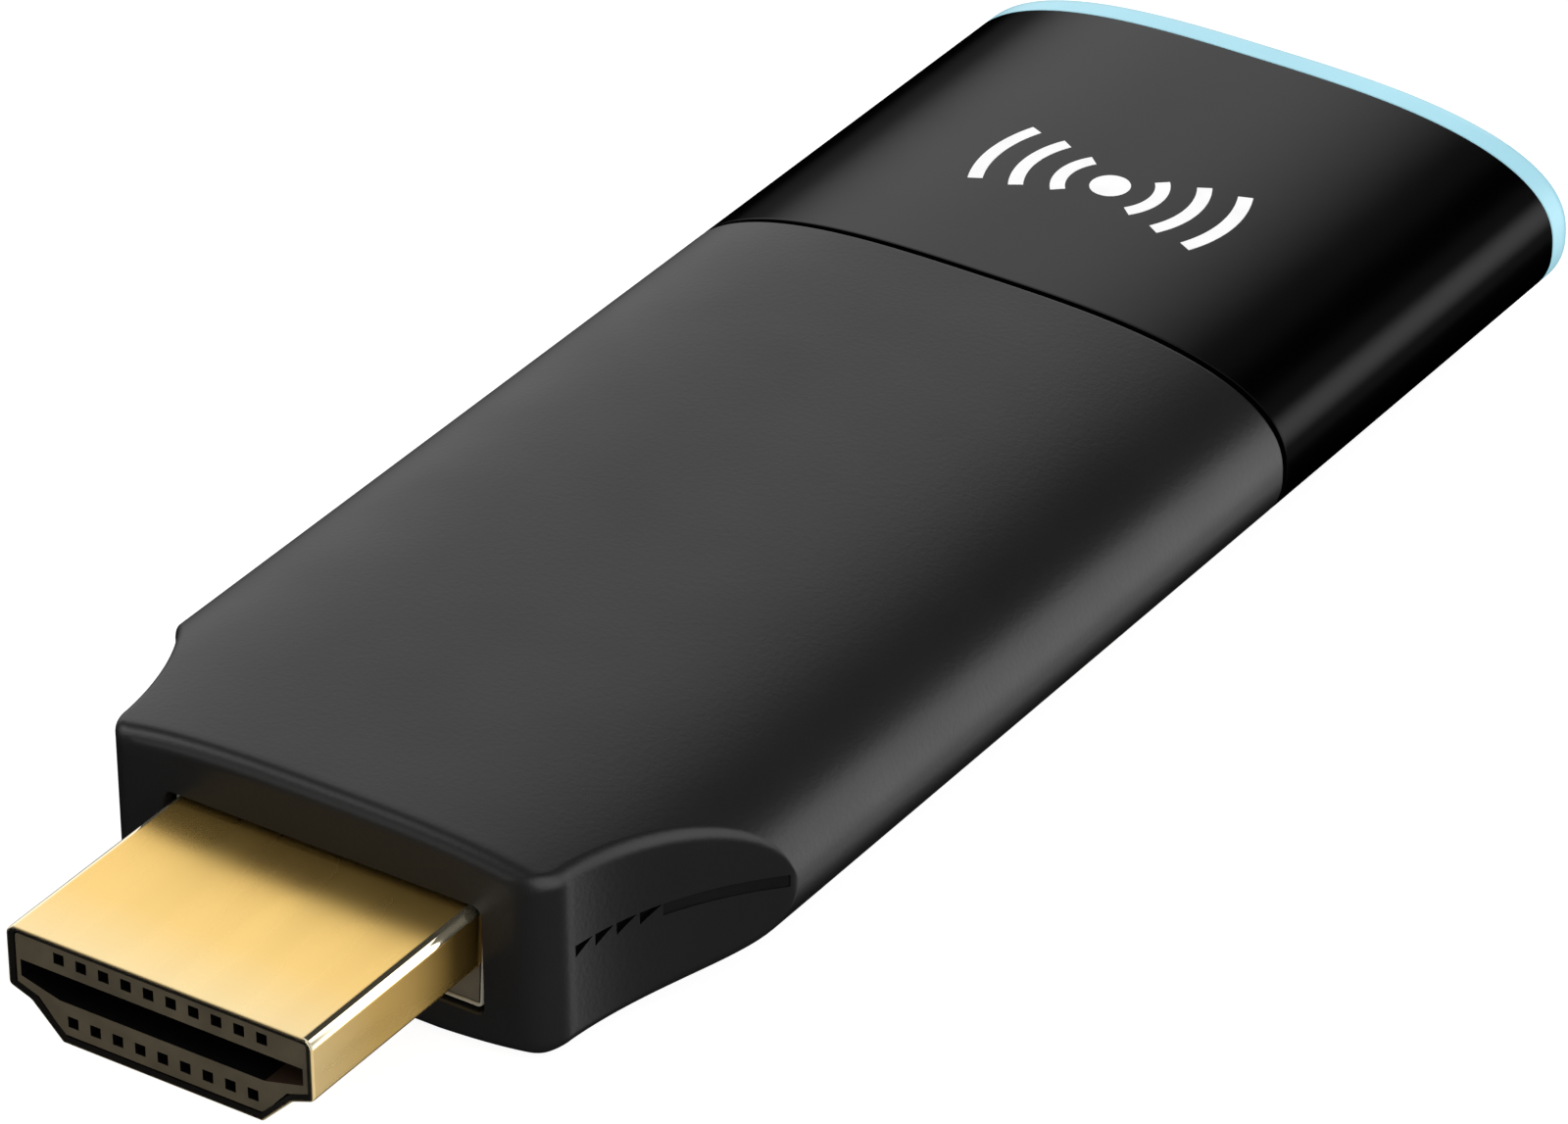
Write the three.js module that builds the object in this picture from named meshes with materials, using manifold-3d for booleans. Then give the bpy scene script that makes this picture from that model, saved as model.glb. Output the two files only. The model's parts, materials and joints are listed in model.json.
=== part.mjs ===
// A stick-shaped streaming media player that plugs straight into a video socket.
// Millimetres. X is the width, the video plug points to -Y, +Z is up.
// Inside the device group, Y = 0 is the casing's front face and Z = 0 the middle of
// its section. The group then centres the whole part on the origin, resting on Z = 0.

import * as THREE from 'three';
import { mergeVertices } from 'three/addons/utils/BufferGeometryUtils.js';
import Module from 'manifold-3d';

const wasm = await Module();
wasm.setup();

// Casing section: |x / half width| ^ SIDE_POWER + |z / half height| ^ TOP_POWER = 1
const CASE_HALF_WIDTH = 14.36;
const CASE_HALF_HEIGHT = 4.56;
const SIDE_POWER = 2.99;
const TOP_POWER = 2.41;
const REST_DEPTH = 4.48;
const SECTION_POINTS = 72;
const CASE_WALL = 1.2;

// Stations along the length
const SEAM_Y = 44.8;
const SEAM_GAP = 0.15;
const CAP_END_Y = 65.88;
const PLATE_GAP = 0.06;
const CASE_END_Y = 67.24;

// Front housing
const FRONT_WALL = 1.4;
const FRONT_EDGE_RADIUS = 0.75;
const FRONT_EDGE_STEPS = 4;
const FRONT_CORNER_RADIUS = 1.6;
const SCOOP_CENTRE_X = 24.08;
const SCOOP_RADIUS = 13.93;
const SCOOP_SHOULDER_RADIUS = 0.8;
const SCOOP_SEGMENTS = 96;
const CORNER_STEPS = 6;
const SCOOP_STEPS = 12;
const SHOULDER_STEPS = 3;
const ARC_TRIM = 0.02;
const SHOULDER_TRIM = 0.05;
const SPIGOT_CLEARANCE = 0.15;
const SPIGOT_WALL = 0.8;
const SPIGOT_LENGTH = 3.2;
const SPIGOT_ROOT = 1.8;
const OPENING_HALF_WIDTH = 7.25;
const OPENING_HALF_HEIGHT = 2.36;
const OPENING_CORNER = 0.3;

// Arrow marks and groove sunk into each scoop
const MARK_DEPTH = 0.2;
const MARK_HEIGHT = 0.52;
const MARK_TOP_Z = 0.47;
const ARROW_LENGTH = 0.92;
const ARROW_FIRST_Y = 1.74;
const ARROW_PITCH = 1.02;
const ARROW_COUNT = 4;
const GROOVE_START_Y = 5.75;
const GROOVE_END_Y = 9.9;

// Video plug, a standard 19-way type A plug
const PLUG_LENGTH = 9.99;
const PLUG_Z = -0.41;
const PLUG_HALF_WIDTH = 6.95;
const PLUG_HALF_HEIGHT = 2.21;
const PLUG_TOP_RADIUS = 0.45;
const PLUG_FOOT = [
  [4.6, -PLUG_HALF_HEIGHT],
  [5.1, -1.77],
  [5.5, -1.29],
  [5.85, -0.9],
  [6.8, -0.6],
  [PLUG_HALF_WIDTH, -0.38],
];
const PLUG_SHELL_WALL = 0.3;
const PLUG_SHELL_ROOT_Y = 1.3;
const INSULATOR_GAP = 0.04;
const INSULATOR_RECESS = 0.12;
const INSULATOR_END_Y = 5.4;
const SLOT_HALF_WIDTH = 6.42;
const SLOT_FOOT_HALF_WIDTH = 4.66;
const SLOT_TOP_Z = 0.76;
const SLOT_SHOULDER_Z = 0.03;
const SLOT_FOOT_Z = -0.43;
const SLOT_END_Y = -1.5;
const CONTACT_PITCH = 1.026;
const CONTACT_UPPER_COUNT = 10;
const CONTACT_LOWER_COUNT = 9;
const CONTACT_UPPER_Z = 1.4;
const CONTACT_LOWER_Z = -1.24;
const CONTACT_WIDTH = 0.3;
const CONTACT_THICKNESS = 0.18;
const CHANNEL_SIZE = 0.48;
const WINDOW_START_Y = -8.4;
const WINDOW_END_Y = -4.2;
const CONTACT_TIP_GAP = 1.0;
const CONTACT_DIP_START = 0.3;
const CONTACT_DIP_END = 1.5;
const CONTACT_DIP_RISE = 0.5;
const CONTACT_DIP_DEPTH = 0.28;
const TAIL_BEND_START = 0.35;
const TAIL_BEND_END = 0.9;
const TAIL_END = 2.1;
const COLLAR_HALF_WIDTH = 7.1;
const COLLAR_HALF_HEIGHT = 2.24;
const COLLAR_WALL = 0.28;
const COLLAR_FACE_Y = 0.2;
const COLLAR_FACE_THICKNESS = 0.4;
const COLLAR_END_Y = 5.0;
const COLLAR_HOLE_GAP = 0.05;

// Main board
const BOARD_TOP_Z = 0.09;
const BOARD_THICKNESS = 1.0;
const BOARD_FRONT_Y = 5.6;
const BOARD_SHOULDER_Y = 11.4;
const BOARD_END_Y = 63.2;
const BOARD_FRONT_HALF_WIDTH = 9.2;
const BOARD_HALF_WIDTH = 11.4;
const BOARD_CORNER = 0.8;
const BOARD_SEAT = 0.05;
const RAIL_GAP = 0.12;
const RAIL_START_Y = 13;
const RAIL_END_Y = 42;
const RAIL_INNER_X = 10.6;
const RAIL_OUTER_X = 13.0;
const RAIL_HEIGHT = 0.75;

// Parts soldered to the board: centre, size, and the lift of those that ride on another.
const PROCESSOR = { x: 0, y: 22, width: 12, length: 12, height: 0.9 };
const HEAT_PAD = { x: 0, y: 22, width: 11, length: 11, height: 0.5, lift: 0.95 };
const SPREADER = { x: 0, y: 26, width: 18, length: 26, height: 0.7, lift: 1.5 };
const SPREADER_SLOT = { x: 0, width: 9, length: 1, height: 2.7, lift: 0.5 };
const SPREADER_SLOT_Y = [17.33, 26, 34.67];
const MEMORY_CHIP = { y: 35, width: 8, length: 9, height: 0.9 };
const MEMORY_CHIP_X = 5;
const FLASH_CHIP = { x: 0, y: 30, width: 11.5, length: 13, height: 1.0 };
const RADIO_CHIP = { x: -5, y: 49, width: 5, length: 5, height: 0.8 };
const SHIELD_CAN = { x: -5, y: 49, width: 8, length: 8, height: 1.5 };
const SHIELD_WALL = 0.2;
const SHIELD_GATE = { x: -5, y: 45, width: 2.6, length: 0.8, height: 0.5 };
const CRYSTAL = { width: 2, length: 2.5, height: 0.6 };
const RADIO_CRYSTAL = { x: 1.5, y: 50.5, ...CRYSTAL };
const PROCESSOR_CRYSTAL = { x: -8.4, y: 17, ...CRYSTAL };
const INDUCTOR = { y: 49, width: 2.8, length: 2.8, height: 1.2 };
const INDUCTOR_X = [5.5, 9];
const CAPACITOR = { x: 1.5, width: 1.6, length: 0.8, height: 0.8 };
const CAPACITOR_Y = [53, 55, 57, 59];
const ANTENNA = { y: 56, width: 2, length: 5, height: 0.9 };
const ANTENNA_X = 9.6;

// Power port, a micro-B receptacle in a notch of the board
const PORT_HALF_WIDTH = 3.75;
const PORT_FOOT_HALF_WIDTH = 2.75;
const PORT_HALF_HEIGHT = 1.3;
const PORT_CORNER_Z = -0.45;
const PORT_WALL = 0.28;
const PORT_START_Y = 61.6;
const PORT_MOUTH_Y = 66.9;
const PORT_OPENING_GAP = 0.12;
const PORT_NOTCH_GAP = 0.25;
const TONGUE_HALF_WIDTH = 2.0;
const TONGUE_HALF_HEIGHT = 0.3;
const TONGUE_Z = 0.3;
const TONGUE_END_Y = 66.2;
const PORT_BLOCK_END_Y = 63.0;
const PORT_CONTACT_COUNT = 5;
const PORT_CONTACT_PITCH = 0.65;
const PORT_CONTACT_WIDTH = 0.35;
const PORT_CONTACT_THICKNESS = 0.12;

// Reset button in the end plate and the switch behind it
const RESET_X = 8.1;
const RESET_Z = 0.75;
const BUTTON_HALF_LENGTH = 1.4;
const BUTTON_HALF_HEIGHT = 0.7;
const BUTTON_CLEARANCE = 0.12;
const BUTTON_FACE_Y = 67.14;
const BUTTON_FOOT_Y = 65.2;
const BUTTON_FLANGE = 0.25;
const BUTTON_FLANGE_THICKNESS = 0.5;
const BUTTON_FLANGE_GAP = 0.1;
const SWITCH_HALF_WIDTH = 1.9;
const SWITCH_HEIGHT = 1.5;
const SWITCH_START_Y = 60.2;
const SWITCH_END_Y = 63.4;
const PLUNGER_HALF_SIZE = 0.45;
const PLUNGER_START_Y = 62.6;
const PLUNGER_GAP = 0.06;
const PLUNGER_TRAVEL_ROOM = 0.45;

// Status light
const LIGHT_X = -8.1;
const LIGHT_Z = 0.75;
const LIGHT_RADIUS = 0.6;
const LIGHT_HOLE_GAP = 0.06;
const LIGHT_START_Y = 62.6;
const STATUS_LIGHT = { x: LIGHT_X, y: 61.3, width: 1.6, length: 1.6, height: 1.2 };

// End plate
const PLATE_EDGE = [
  { y: CAP_END_Y + PLATE_GAP, inset: 0 },
  { y: 66.6, inset: 0 },
  { y: 66.95, inset: 0.05 },
  { y: 67.15, inset: 0.13 },
  { y: CASE_END_Y, inset: 0.26 },
];
const PLATE_RIM_LENGTH = 2.2;

const OVERRUN = 1;
const CUT_OVERLAP = 0.01;
const ROUND_SEGMENTS = 24;
const CURVE_SEGMENTS = 5;

// ---------------------------------------------------------------- helpers

const AXIS_X = new THREE.Vector3(1, 0, 0);
const AXIS_Y = new THREE.Vector3(0, 1, 0);
const AXIS_Z = new THREE.Vector3(0, 0, 1);

// Merges a closed geometry's shared vertices and makes a solid of it.
function toSolid(geometry) {
  const bare = geometry.clone();
  bare.deleteAttribute('normal');
  bare.deleteAttribute('uv');
  const merged = mergeVertices(bare);
  return new wasm.Manifold(new wasm.Mesh({
    numProp: 3,
    vertProperties: new Float32Array(merged.attributes.position.array),
    triVerts: new Uint32Array(merged.index.array),
  }));
}

function toGeometry(solid) {
  const mesh = solid.getMesh();
  const geometry = new THREE.BufferGeometry();
  geometry.setAttribute('position', new THREE.BufferAttribute(mesh.vertProperties, 3));
  geometry.setIndex(new THREE.BufferAttribute(mesh.triVerts, 1));
  geometry.computeVertexNormals();
  return geometry;
}

// Extrudes a shape along one axis from start to end. The shape's own two axes are
// Y and Z when it runs along X, X and Z along Y, and X and Y along Z.
function prism(shape, axis, start, end) {
  const geometry = new THREE.ExtrudeGeometry(shape, {
    depth: end - start,
    bevelEnabled: false,
    curveSegments: CURVE_SEGMENTS,
  });
  const place = new THREE.Matrix4();
  if (axis === 'x') {
    place.makeBasis(AXIS_Y, AXIS_Z, AXIS_X).setPosition(start, 0, 0);
  } else if (axis === 'y') {
    place.makeBasis(AXIS_X, AXIS_Z, AXIS_Y.clone().negate()).setPosition(0, end, 0);
  } else {
    place.setPosition(0, 0, start);
  }
  return geometry.applyMatrix4(place);
}

function block(xRange, yRange, zRange) {
  const geometry = new THREE.BoxGeometry(
    xRange[1] - xRange[0],
    yRange[1] - yRange[0],
    zRange[1] - zRange[0],
  );
  return geometry.translate(
    (xRange[0] + xRange[1]) / 2,
    (yRange[0] + yRange[1]) / 2,
    (zRange[0] + zRange[1]) / 2,
  );
}

// Joins rings of equal point counts, one after another along Y, and closes both ends.
function loftAlongY(rings) {
  const count = rings[0].points.length;
  const positions = [];
  const index = [];
  for (const ring of rings) {
    for (const point of ring.points) {
      positions.push(point.x, ring.y, point.y);
    }
  }
  for (let ring = 0; ring < rings.length - 1; ring += 1) {
    for (let i = 0; i < count; i += 1) {
      const next = (i + 1) % count;
      const a = ring * count + i;
      const b = ring * count + next;
      index.push(a, a + count, b, b, a + count, b + count);
    }
  }
  const lastStart = (rings.length - 1) * count;
  for (let i = 1; i < count - 1; i += 1) {
    index.push(0, i, i + 1);
    index.push(lastStart, lastStart + i + 1, lastStart + i);
  }
  const geometry = new THREE.BufferGeometry();
  geometry.setAttribute('position', new THREE.Float32BufferAttribute(positions, 3));
  geometry.setIndex(index);
  return geometry;
}

// The casing's section, shrunk by an inset all round, as points in X and Z.
function casePoints(inset) {
  const points = [];
  for (let i = 0; i < SECTION_POINTS; i += 1) {
    const angle = (2 * Math.PI * i) / SECTION_POINTS;
    const c = Math.cos(angle);
    const s = Math.sin(angle);
    const x = (CASE_HALF_WIDTH - inset) * Math.sign(c) * Math.abs(c) ** (2 / SIDE_POWER);
    const z = (CASE_HALF_HEIGHT - inset) * Math.sign(s) * Math.abs(s) ** (2 / TOP_POWER);
    points.push(new THREE.Vector2(x, Math.max(z, inset - REST_DEPTH)));
  }
  return points;
}

function caseLoft(stations) {
  return toSolid(loftAlongY(stations.map(({ y, inset }) => ({ y, points: casePoints(inset) }))));
}

function caseTube(start, end, outerInset, innerInset) {
  const outer = caseLoft([{ y: start, inset: outerInset }, { y: end, inset: outerInset }]);
  const inner = caseLoft([
    { y: start - OVERRUN, inset: innerInset },
    { y: end + OVERRUN, inset: innerInset },
  ]);
  return outer.subtract(inner);
}

// Moves every edge of a closed outline inwards by the same distance.
function insetOutline(points, distance) {
  return points.map((point, i) => {
    const before = points[(i + points.length - 1) % points.length];
    const after = points[(i + 1) % points.length];
    const into = point.clone().sub(before).normalize();
    const out = after.clone().sub(point).normalize();
    const bisector = new THREE.Vector2(-into.y - out.y, into.x + out.x).normalize();
    const reach = distance / bisector.dot(new THREE.Vector2(-out.y, out.x));
    return point.clone().addScaledVector(bisector, reach);
  });
}

// A right half outline, from bottom to top, completed by its mirror image.
function mirrored(rightHalf) {
  const leftHalf = rightHalf.map((point) => new THREE.Vector2(-point.x, point.y)).reverse();
  return [...rightHalf, ...leftHalf];
}

function roundedRectangle(halfWidth, halfHeight, radius, x = 0, z = 0) {
  const shape = new THREE.Shape();
  const right = x + halfWidth - radius;
  const left = x - halfWidth + radius;
  const top = z + halfHeight - radius;
  const bottom = z - halfHeight + radius;
  shape.absarc(right, top, radius, 0, Math.PI / 2);
  shape.absarc(left, top, radius, Math.PI / 2, Math.PI);
  shape.absarc(left, bottom, radius, Math.PI, 1.5 * Math.PI);
  shape.absarc(right, bottom, radius, 1.5 * Math.PI, 2 * Math.PI);
  return shape;
}

function roundBar(radius, x, z, start, end) {
  const geometry = new THREE.CylinderGeometry(radius, radius, end - start, ROUND_SEGMENTS);
  return geometry.translate(x, (start + end) / 2, z);
}

// ---------------------------------------------------------------- materials

function material(color, roughness, metalness) {
  return new THREE.MeshStandardMaterial({ color, roughness, metalness });
}

const mattePlastic = () => material(0x2e2e2f, 0.5, 0);
const glossPlastic = () => material(0x0a0a0b, 0.15, 0);
const bluePlastic = () => material(0xa9dcec, 0.3, 0);
const goldPlate = () => material(0xe0b765, 0.25, 1);
const insulatorPlastic = () => material(0x463d2c, 0.5, 0);
const collarSteel = () => material(0x8a857a, 0.35, 1);
const boardLaminate = () => material(0x12301f, 0.45, 0);
const chipEpoxy = () => material(0x1a1a1b, 0.6, 0);
const heatPadRubber = () => material(0x8fa3b5, 0.8, 0);
const aluminium = () => material(0xc4c6c8, 0.4, 1);
const tinnedSteel = () => material(0xb7b8b6, 0.35, 1);
const ceramic = () => material(0xb49a72, 0.6, 0);
const clearLens = () => material(0xeef4f6, 0.1, 0);
const buttonPlastic = () => material(0x1c1c1e, 0.4, 0);

// ---------------------------------------------------------------- casing

function scoopCylinder(radius, side) {
  const height = 2 * CASE_HALF_HEIGHT + 2 * OVERRUN;
  const geometry = new THREE.CylinderGeometry(radius, radius, height, SCOOP_SEGMENTS);
  geometry.rotateX(Math.PI / 2);
  return toSolid(geometry.translate(side * SCOOP_CENTRE_X, 0, 0));
}

// Plan of the front housing: round front corners, hollow scoops, round shoulders.
function housingPlan() {
  const sideX = CASE_HALF_WIDTH + SPIGOT_CLEARANCE;
  const scoopStart = Math.asin(FRONT_CORNER_RADIUS / SCOOP_RADIUS);
  const cornerX = SCOOP_CENTRE_X - SCOOP_RADIUS * Math.cos(scoopStart) - FRONT_CORNER_RADIUS;
  const shoulderX = sideX - SCOOP_SHOULDER_RADIUS;
  const reach = SCOOP_RADIUS + SCOOP_SHOULDER_RADIUS;
  const shoulderY = Math.sqrt(reach ** 2 - (SCOOP_CENTRE_X - shoulderX) ** 2);
  const scoopEnd = Math.atan2(shoulderY, SCOOP_CENTRE_X - shoulderX);
  const right = [];
  const addArc = (x, y, radius, from, to, steps) => {
    for (let i = 0; i <= steps; i += 1) {
      const angle = from + ((to - from) * i) / steps;
      right.push(new THREE.Vector2(x + radius * Math.cos(angle), y + radius * Math.sin(angle)));
    }
  };
  addArc(cornerX, FRONT_CORNER_RADIUS, FRONT_CORNER_RADIUS, -Math.PI / 2, 0, CORNER_STEPS);
  const scoopFrom = Math.PI - scoopStart - ARC_TRIM;
  addArc(SCOOP_CENTRE_X, 0, SCOOP_RADIUS, scoopFrom, Math.PI - scoopEnd, SCOOP_STEPS);
  const shoulderFrom = SHOULDER_TRIM - scoopEnd;
  addArc(shoulderX, shoulderY, SCOOP_SHOULDER_RADIUS, shoulderFrom, 0, SHOULDER_STEPS);
  right.push(new THREE.Vector2(sideX, SEAM_Y + OVERRUN));
  return new THREE.Shape(mirrored(right));
}

// Four arrow marks and a groove, sunk a little below the scoop's wall.
function scoopMarks(side) {
  const startX = side > 0 ? OPENING_HALF_WIDTH : -CASE_HALF_WIDTH - OVERRUN;
  const endX = side > 0 ? CASE_HALF_WIDTH + OVERRUN : -OPENING_HALF_WIDTH;
  const bottom = MARK_TOP_Z - MARK_HEIGHT;
  const groove = new THREE.Shape([
    new THREE.Vector2(GROOVE_START_Y, bottom),
    new THREE.Vector2(GROOVE_END_Y, bottom),
    new THREE.Vector2(GROOVE_END_Y, MARK_TOP_Z),
    new THREE.Vector2(GROOVE_START_Y, MARK_TOP_Z),
  ]);
  let marks = toSolid(prism(groove, 'x', startX, endX));
  for (let i = 0; i < ARROW_COUNT; i += 1) {
    const y = ARROW_FIRST_Y + i * ARROW_PITCH;
    const arrow = new THREE.Shape([
      new THREE.Vector2(y, bottom),
      new THREE.Vector2(y + ARROW_LENGTH, MARK_TOP_Z),
      new THREE.Vector2(y, MARK_TOP_Z),
    ]);
    marks = marks.add(toSolid(prism(arrow, 'x', startX, endX)));
  }
  return marks.intersect(scoopCylinder(SCOOP_RADIUS + MARK_DEPTH, side));
}

function housingRails() {
  const boardBottom = BOARD_TOP_Z - BOARD_THICKNESS;
  const upper = [BOARD_TOP_Z + RAIL_GAP, BOARD_TOP_Z + RAIL_GAP + RAIL_HEIGHT];
  const lower = [boardBottom - RAIL_GAP - RAIL_HEIGHT, boardBottom - RAIL_GAP];
  const yRange = [RAIL_START_Y, RAIL_END_Y];
  const rails = [];
  for (const zRange of [upper, lower]) {
    rails.push(block([RAIL_INNER_X, RAIL_OUTER_X], yRange, zRange));
    rails.push(block([-RAIL_OUTER_X, -RAIL_INNER_X], yRange, zRange));
  }
  return rails.map(toSolid);
}

function frontHousing() {
  const stations = [];
  for (let i = 0; i <= FRONT_EDGE_STEPS; i += 1) {
    const angle = (Math.PI / 2) * (i / FRONT_EDGE_STEPS);
    stations.push({
      y: FRONT_EDGE_RADIUS * (1 - Math.cos(angle)),
      inset: FRONT_EDGE_RADIUS * (1 - Math.sin(angle)),
    });
  }
  stations.push({ y: SEAM_Y, inset: 0 });
  const tall = CASE_HALF_HEIGHT + OVERRUN;
  let cavity = caseLoft([
    { y: FRONT_WALL, inset: CASE_WALL },
    { y: SEAM_Y + OVERRUN, inset: CASE_WALL },
  ]);
  let housing = caseLoft(stations).intersect(toSolid(prism(housingPlan(), 'z', -tall, tall)));
  for (const side of [-1, 1]) {
    cavity = cavity.subtract(scoopCylinder(SCOOP_RADIUS + CASE_WALL, side));
    housing = housing.subtract(scoopMarks(side));
  }
  housing = housing.subtract(cavity);
  const opening = roundedRectangle(
    OPENING_HALF_WIDTH,
    OPENING_HALF_HEIGHT,
    OPENING_CORNER,
    0,
    PLUG_Z,
  );
  housing = housing.subtract(toSolid(prism(opening, 'y', -OVERRUN, FRONT_WALL + OVERRUN)));
  const spigotInset = CASE_WALL + SPIGOT_CLEARANCE;
  const spigotBore = spigotInset + SPIGOT_WALL;
  const root = caseTube(SEAM_Y - SPIGOT_ROOT, SEAM_Y, CASE_WALL / 2, spigotBore);
  const tongue = caseTube(
    SEAM_Y - SPIGOT_ROOT / 2,
    SEAM_Y + SPIGOT_LENGTH,
    spigotInset,
    spigotBore,
  );
  housing = housing.add(root).add(tongue);
  for (const rail of housingRails()) {
    housing = housing.add(rail);
  }
  return toGeometry(housing);
}

function rearCap() {
  return toGeometry(caseTube(SEAM_Y + SEAM_GAP, CAP_END_Y, 0, CASE_WALL));
}

function portOutline(offset) {
  const half = [
    new THREE.Vector2(PORT_FOOT_HALF_WIDTH, -PORT_HALF_HEIGHT),
    new THREE.Vector2(PORT_HALF_WIDTH, PORT_CORNER_Z),
    new THREE.Vector2(PORT_HALF_WIDTH, PORT_HALF_HEIGHT),
  ];
  return insetOutline(mirrored(half), -offset);
}

function endPlate() {
  const rimInset = CASE_WALL + SPIGOT_CLEARANCE;
  const plateStart = PLATE_EDGE[0].y;
  const rim = caseTube(
    plateStart - PLATE_RIM_LENGTH,
    plateStart + PLATE_GAP,
    rimInset,
    rimInset + SPIGOT_WALL,
  );
  const through = [plateStart - OVERRUN, CASE_END_Y + OVERRUN];
  const portHole = new THREE.Shape(portOutline(PORT_OPENING_GAP));
  const buttonHole = roundedRectangle(
    BUTTON_HALF_LENGTH + BUTTON_CLEARANCE,
    BUTTON_HALF_HEIGHT + BUTTON_CLEARANCE,
    BUTTON_HALF_HEIGHT + BUTTON_CLEARANCE,
    RESET_X,
    RESET_Z,
  );
  const lightHole = roundBar(LIGHT_RADIUS + LIGHT_HOLE_GAP, LIGHT_X, LIGHT_Z, ...through);
  const plate = caseLoft(PLATE_EDGE)
    .add(rim)
    .subtract(toSolid(prism(portHole, 'y', ...through)))
    .subtract(toSolid(prism(buttonHole, 'y', ...through)))
    .subtract(toSolid(lightHole));
  return toGeometry(plate);
}

// ---------------------------------------------------------------- video plug

// The plug's outline about its own centre: a flat top with round corners, upright
// sides, and a narrower foot joined by a stepped slope.
function plugPoints() {
  const half = PLUG_FOOT.map(([x, z]) => new THREE.Vector2(x, z));
  const centreX = PLUG_HALF_WIDTH - PLUG_TOP_RADIUS;
  const centreZ = PLUG_HALF_HEIGHT - PLUG_TOP_RADIUS;
  for (let i = 0; i <= CURVE_SEGMENTS; i += 1) {
    const angle = (Math.PI / 2) * (i / CURVE_SEGMENTS);
    half.push(new THREE.Vector2(
      centreX + PLUG_TOP_RADIUS * Math.cos(angle),
      centreZ + PLUG_TOP_RADIUS * Math.sin(angle),
    ));
  }
  return mirrored(half);
}

function plugShell() {
  const shape = new THREE.Shape(plugPoints());
  shape.holes.push(new THREE.Path(insetOutline(plugPoints(), PLUG_SHELL_WALL)));
  return prism(shape, 'y', -PLUG_LENGTH, PLUG_SHELL_ROOT_Y);
}

function contactX(index, count) {
  return (index - (count - 1) / 2) * CONTACT_PITCH;
}

function squareAt(x, z, size) {
  return [[x - size / 2, x + size / 2], [z - size / 2, z + size / 2]];
}

function plugInsulator() {
  const faceY = INSULATOR_RECESS - PLUG_LENGTH;
  const outline = insetOutline(plugPoints(), PLUG_SHELL_WALL + INSULATOR_GAP);
  const slot = mirrored([
    new THREE.Vector2(SLOT_FOOT_HALF_WIDTH, SLOT_FOOT_Z),
    new THREE.Vector2(SLOT_HALF_WIDTH, SLOT_SHOULDER_Z),
    new THREE.Vector2(SLOT_HALF_WIDTH, SLOT_TOP_Z),
  ]);
  let insulator = toSolid(prism(new THREE.Shape(outline), 'y', faceY, INSULATOR_END_Y));
  const slotPrism = prism(new THREE.Shape(slot), 'y', faceY - OVERRUN, SLOT_END_Y);
  insulator = insulator.subtract(toSolid(slotPrism));
  const rows = [
    { count: CONTACT_UPPER_COUNT, z: CONTACT_UPPER_Z },
    { count: CONTACT_LOWER_COUNT, z: CONTACT_LOWER_Z },
  ];
  for (const row of rows) {
    for (let i = 0; i < row.count; i += 1) {
      const [xRange, zRange] = squareAt(contactX(i, row.count), row.z, CHANNEL_SIZE);
      const channel = block(xRange, [faceY - OVERRUN, INSULATOR_END_Y + OVERRUN], zRange);
      const window = block(
        xRange,
        [WINDOW_START_Y, WINDOW_END_Y],
        [Math.min(row.z, 0), Math.max(row.z, 0)],
      );
      insulator = insulator.subtract(toSolid(channel)).subtract(toSolid(window));
    }
  }
  return toGeometry(insulator);
}

// One spring contact: a flat strip that dips through its window into the slot, runs
// back along its channel and ends in a tail on the board's face.
function plugContact(x, z, tailZ) {
  const half = CONTACT_THICKNESS / 2;
  const towards = -Math.sign(z);
  const dipZ = z > 0 ? SLOT_TOP_Z - CONTACT_DIP_DEPTH : SLOT_FOOT_Z + CONTACT_DIP_DEPTH;
  const line = [
    [CONTACT_TIP_GAP - PLUG_LENGTH, z],
    [WINDOW_START_Y + CONTACT_DIP_START, z],
    [WINDOW_START_Y + CONTACT_DIP_END, dipZ],
    [WINDOW_END_Y - CONTACT_DIP_RISE, z],
    [INSULATOR_END_Y + TAIL_BEND_START, z],
    [INSULATOR_END_Y + TAIL_BEND_END, tailZ],
    [INSULATOR_END_Y + TAIL_END, tailZ],
  ];
  const near = line.map(([y, height]) => new THREE.Vector2(y, height + half * towards));
  const far = line.map(([y, height]) => new THREE.Vector2(y, height - half * towards)).reverse();
  const strip = new THREE.Shape([...near, ...far]);
  return prism(strip, 'x', x - CONTACT_WIDTH / 2, x + CONTACT_WIDTH / 2);
}

function plugCollar() {
  const box = roundedRectangle(COLLAR_HALF_WIDTH, COLLAR_HALF_HEIGHT, OPENING_CORNER);
  const inner = roundedRectangle(
    COLLAR_HALF_WIDTH - COLLAR_WALL,
    COLLAR_HALF_HEIGHT - COLLAR_WALL,
    COLLAR_WALL,
  );
  const hole = new THREE.Shape(insetOutline(plugPoints(), -COLLAR_HOLE_GAP));
  const faceEnd = COLLAR_FACE_Y + COLLAR_FACE_THICKNESS;
  const collar = toSolid(prism(box, 'y', COLLAR_FACE_Y, COLLAR_END_Y))
    .subtract(toSolid(prism(inner, 'y', faceEnd, COLLAR_END_Y + OVERRUN)))
    .subtract(toSolid(prism(hole, 'y', COLLAR_FACE_Y - OVERRUN, faceEnd + OVERRUN)));
  return toGeometry(collar);
}

// ---------------------------------------------------------------- electronics

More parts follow.
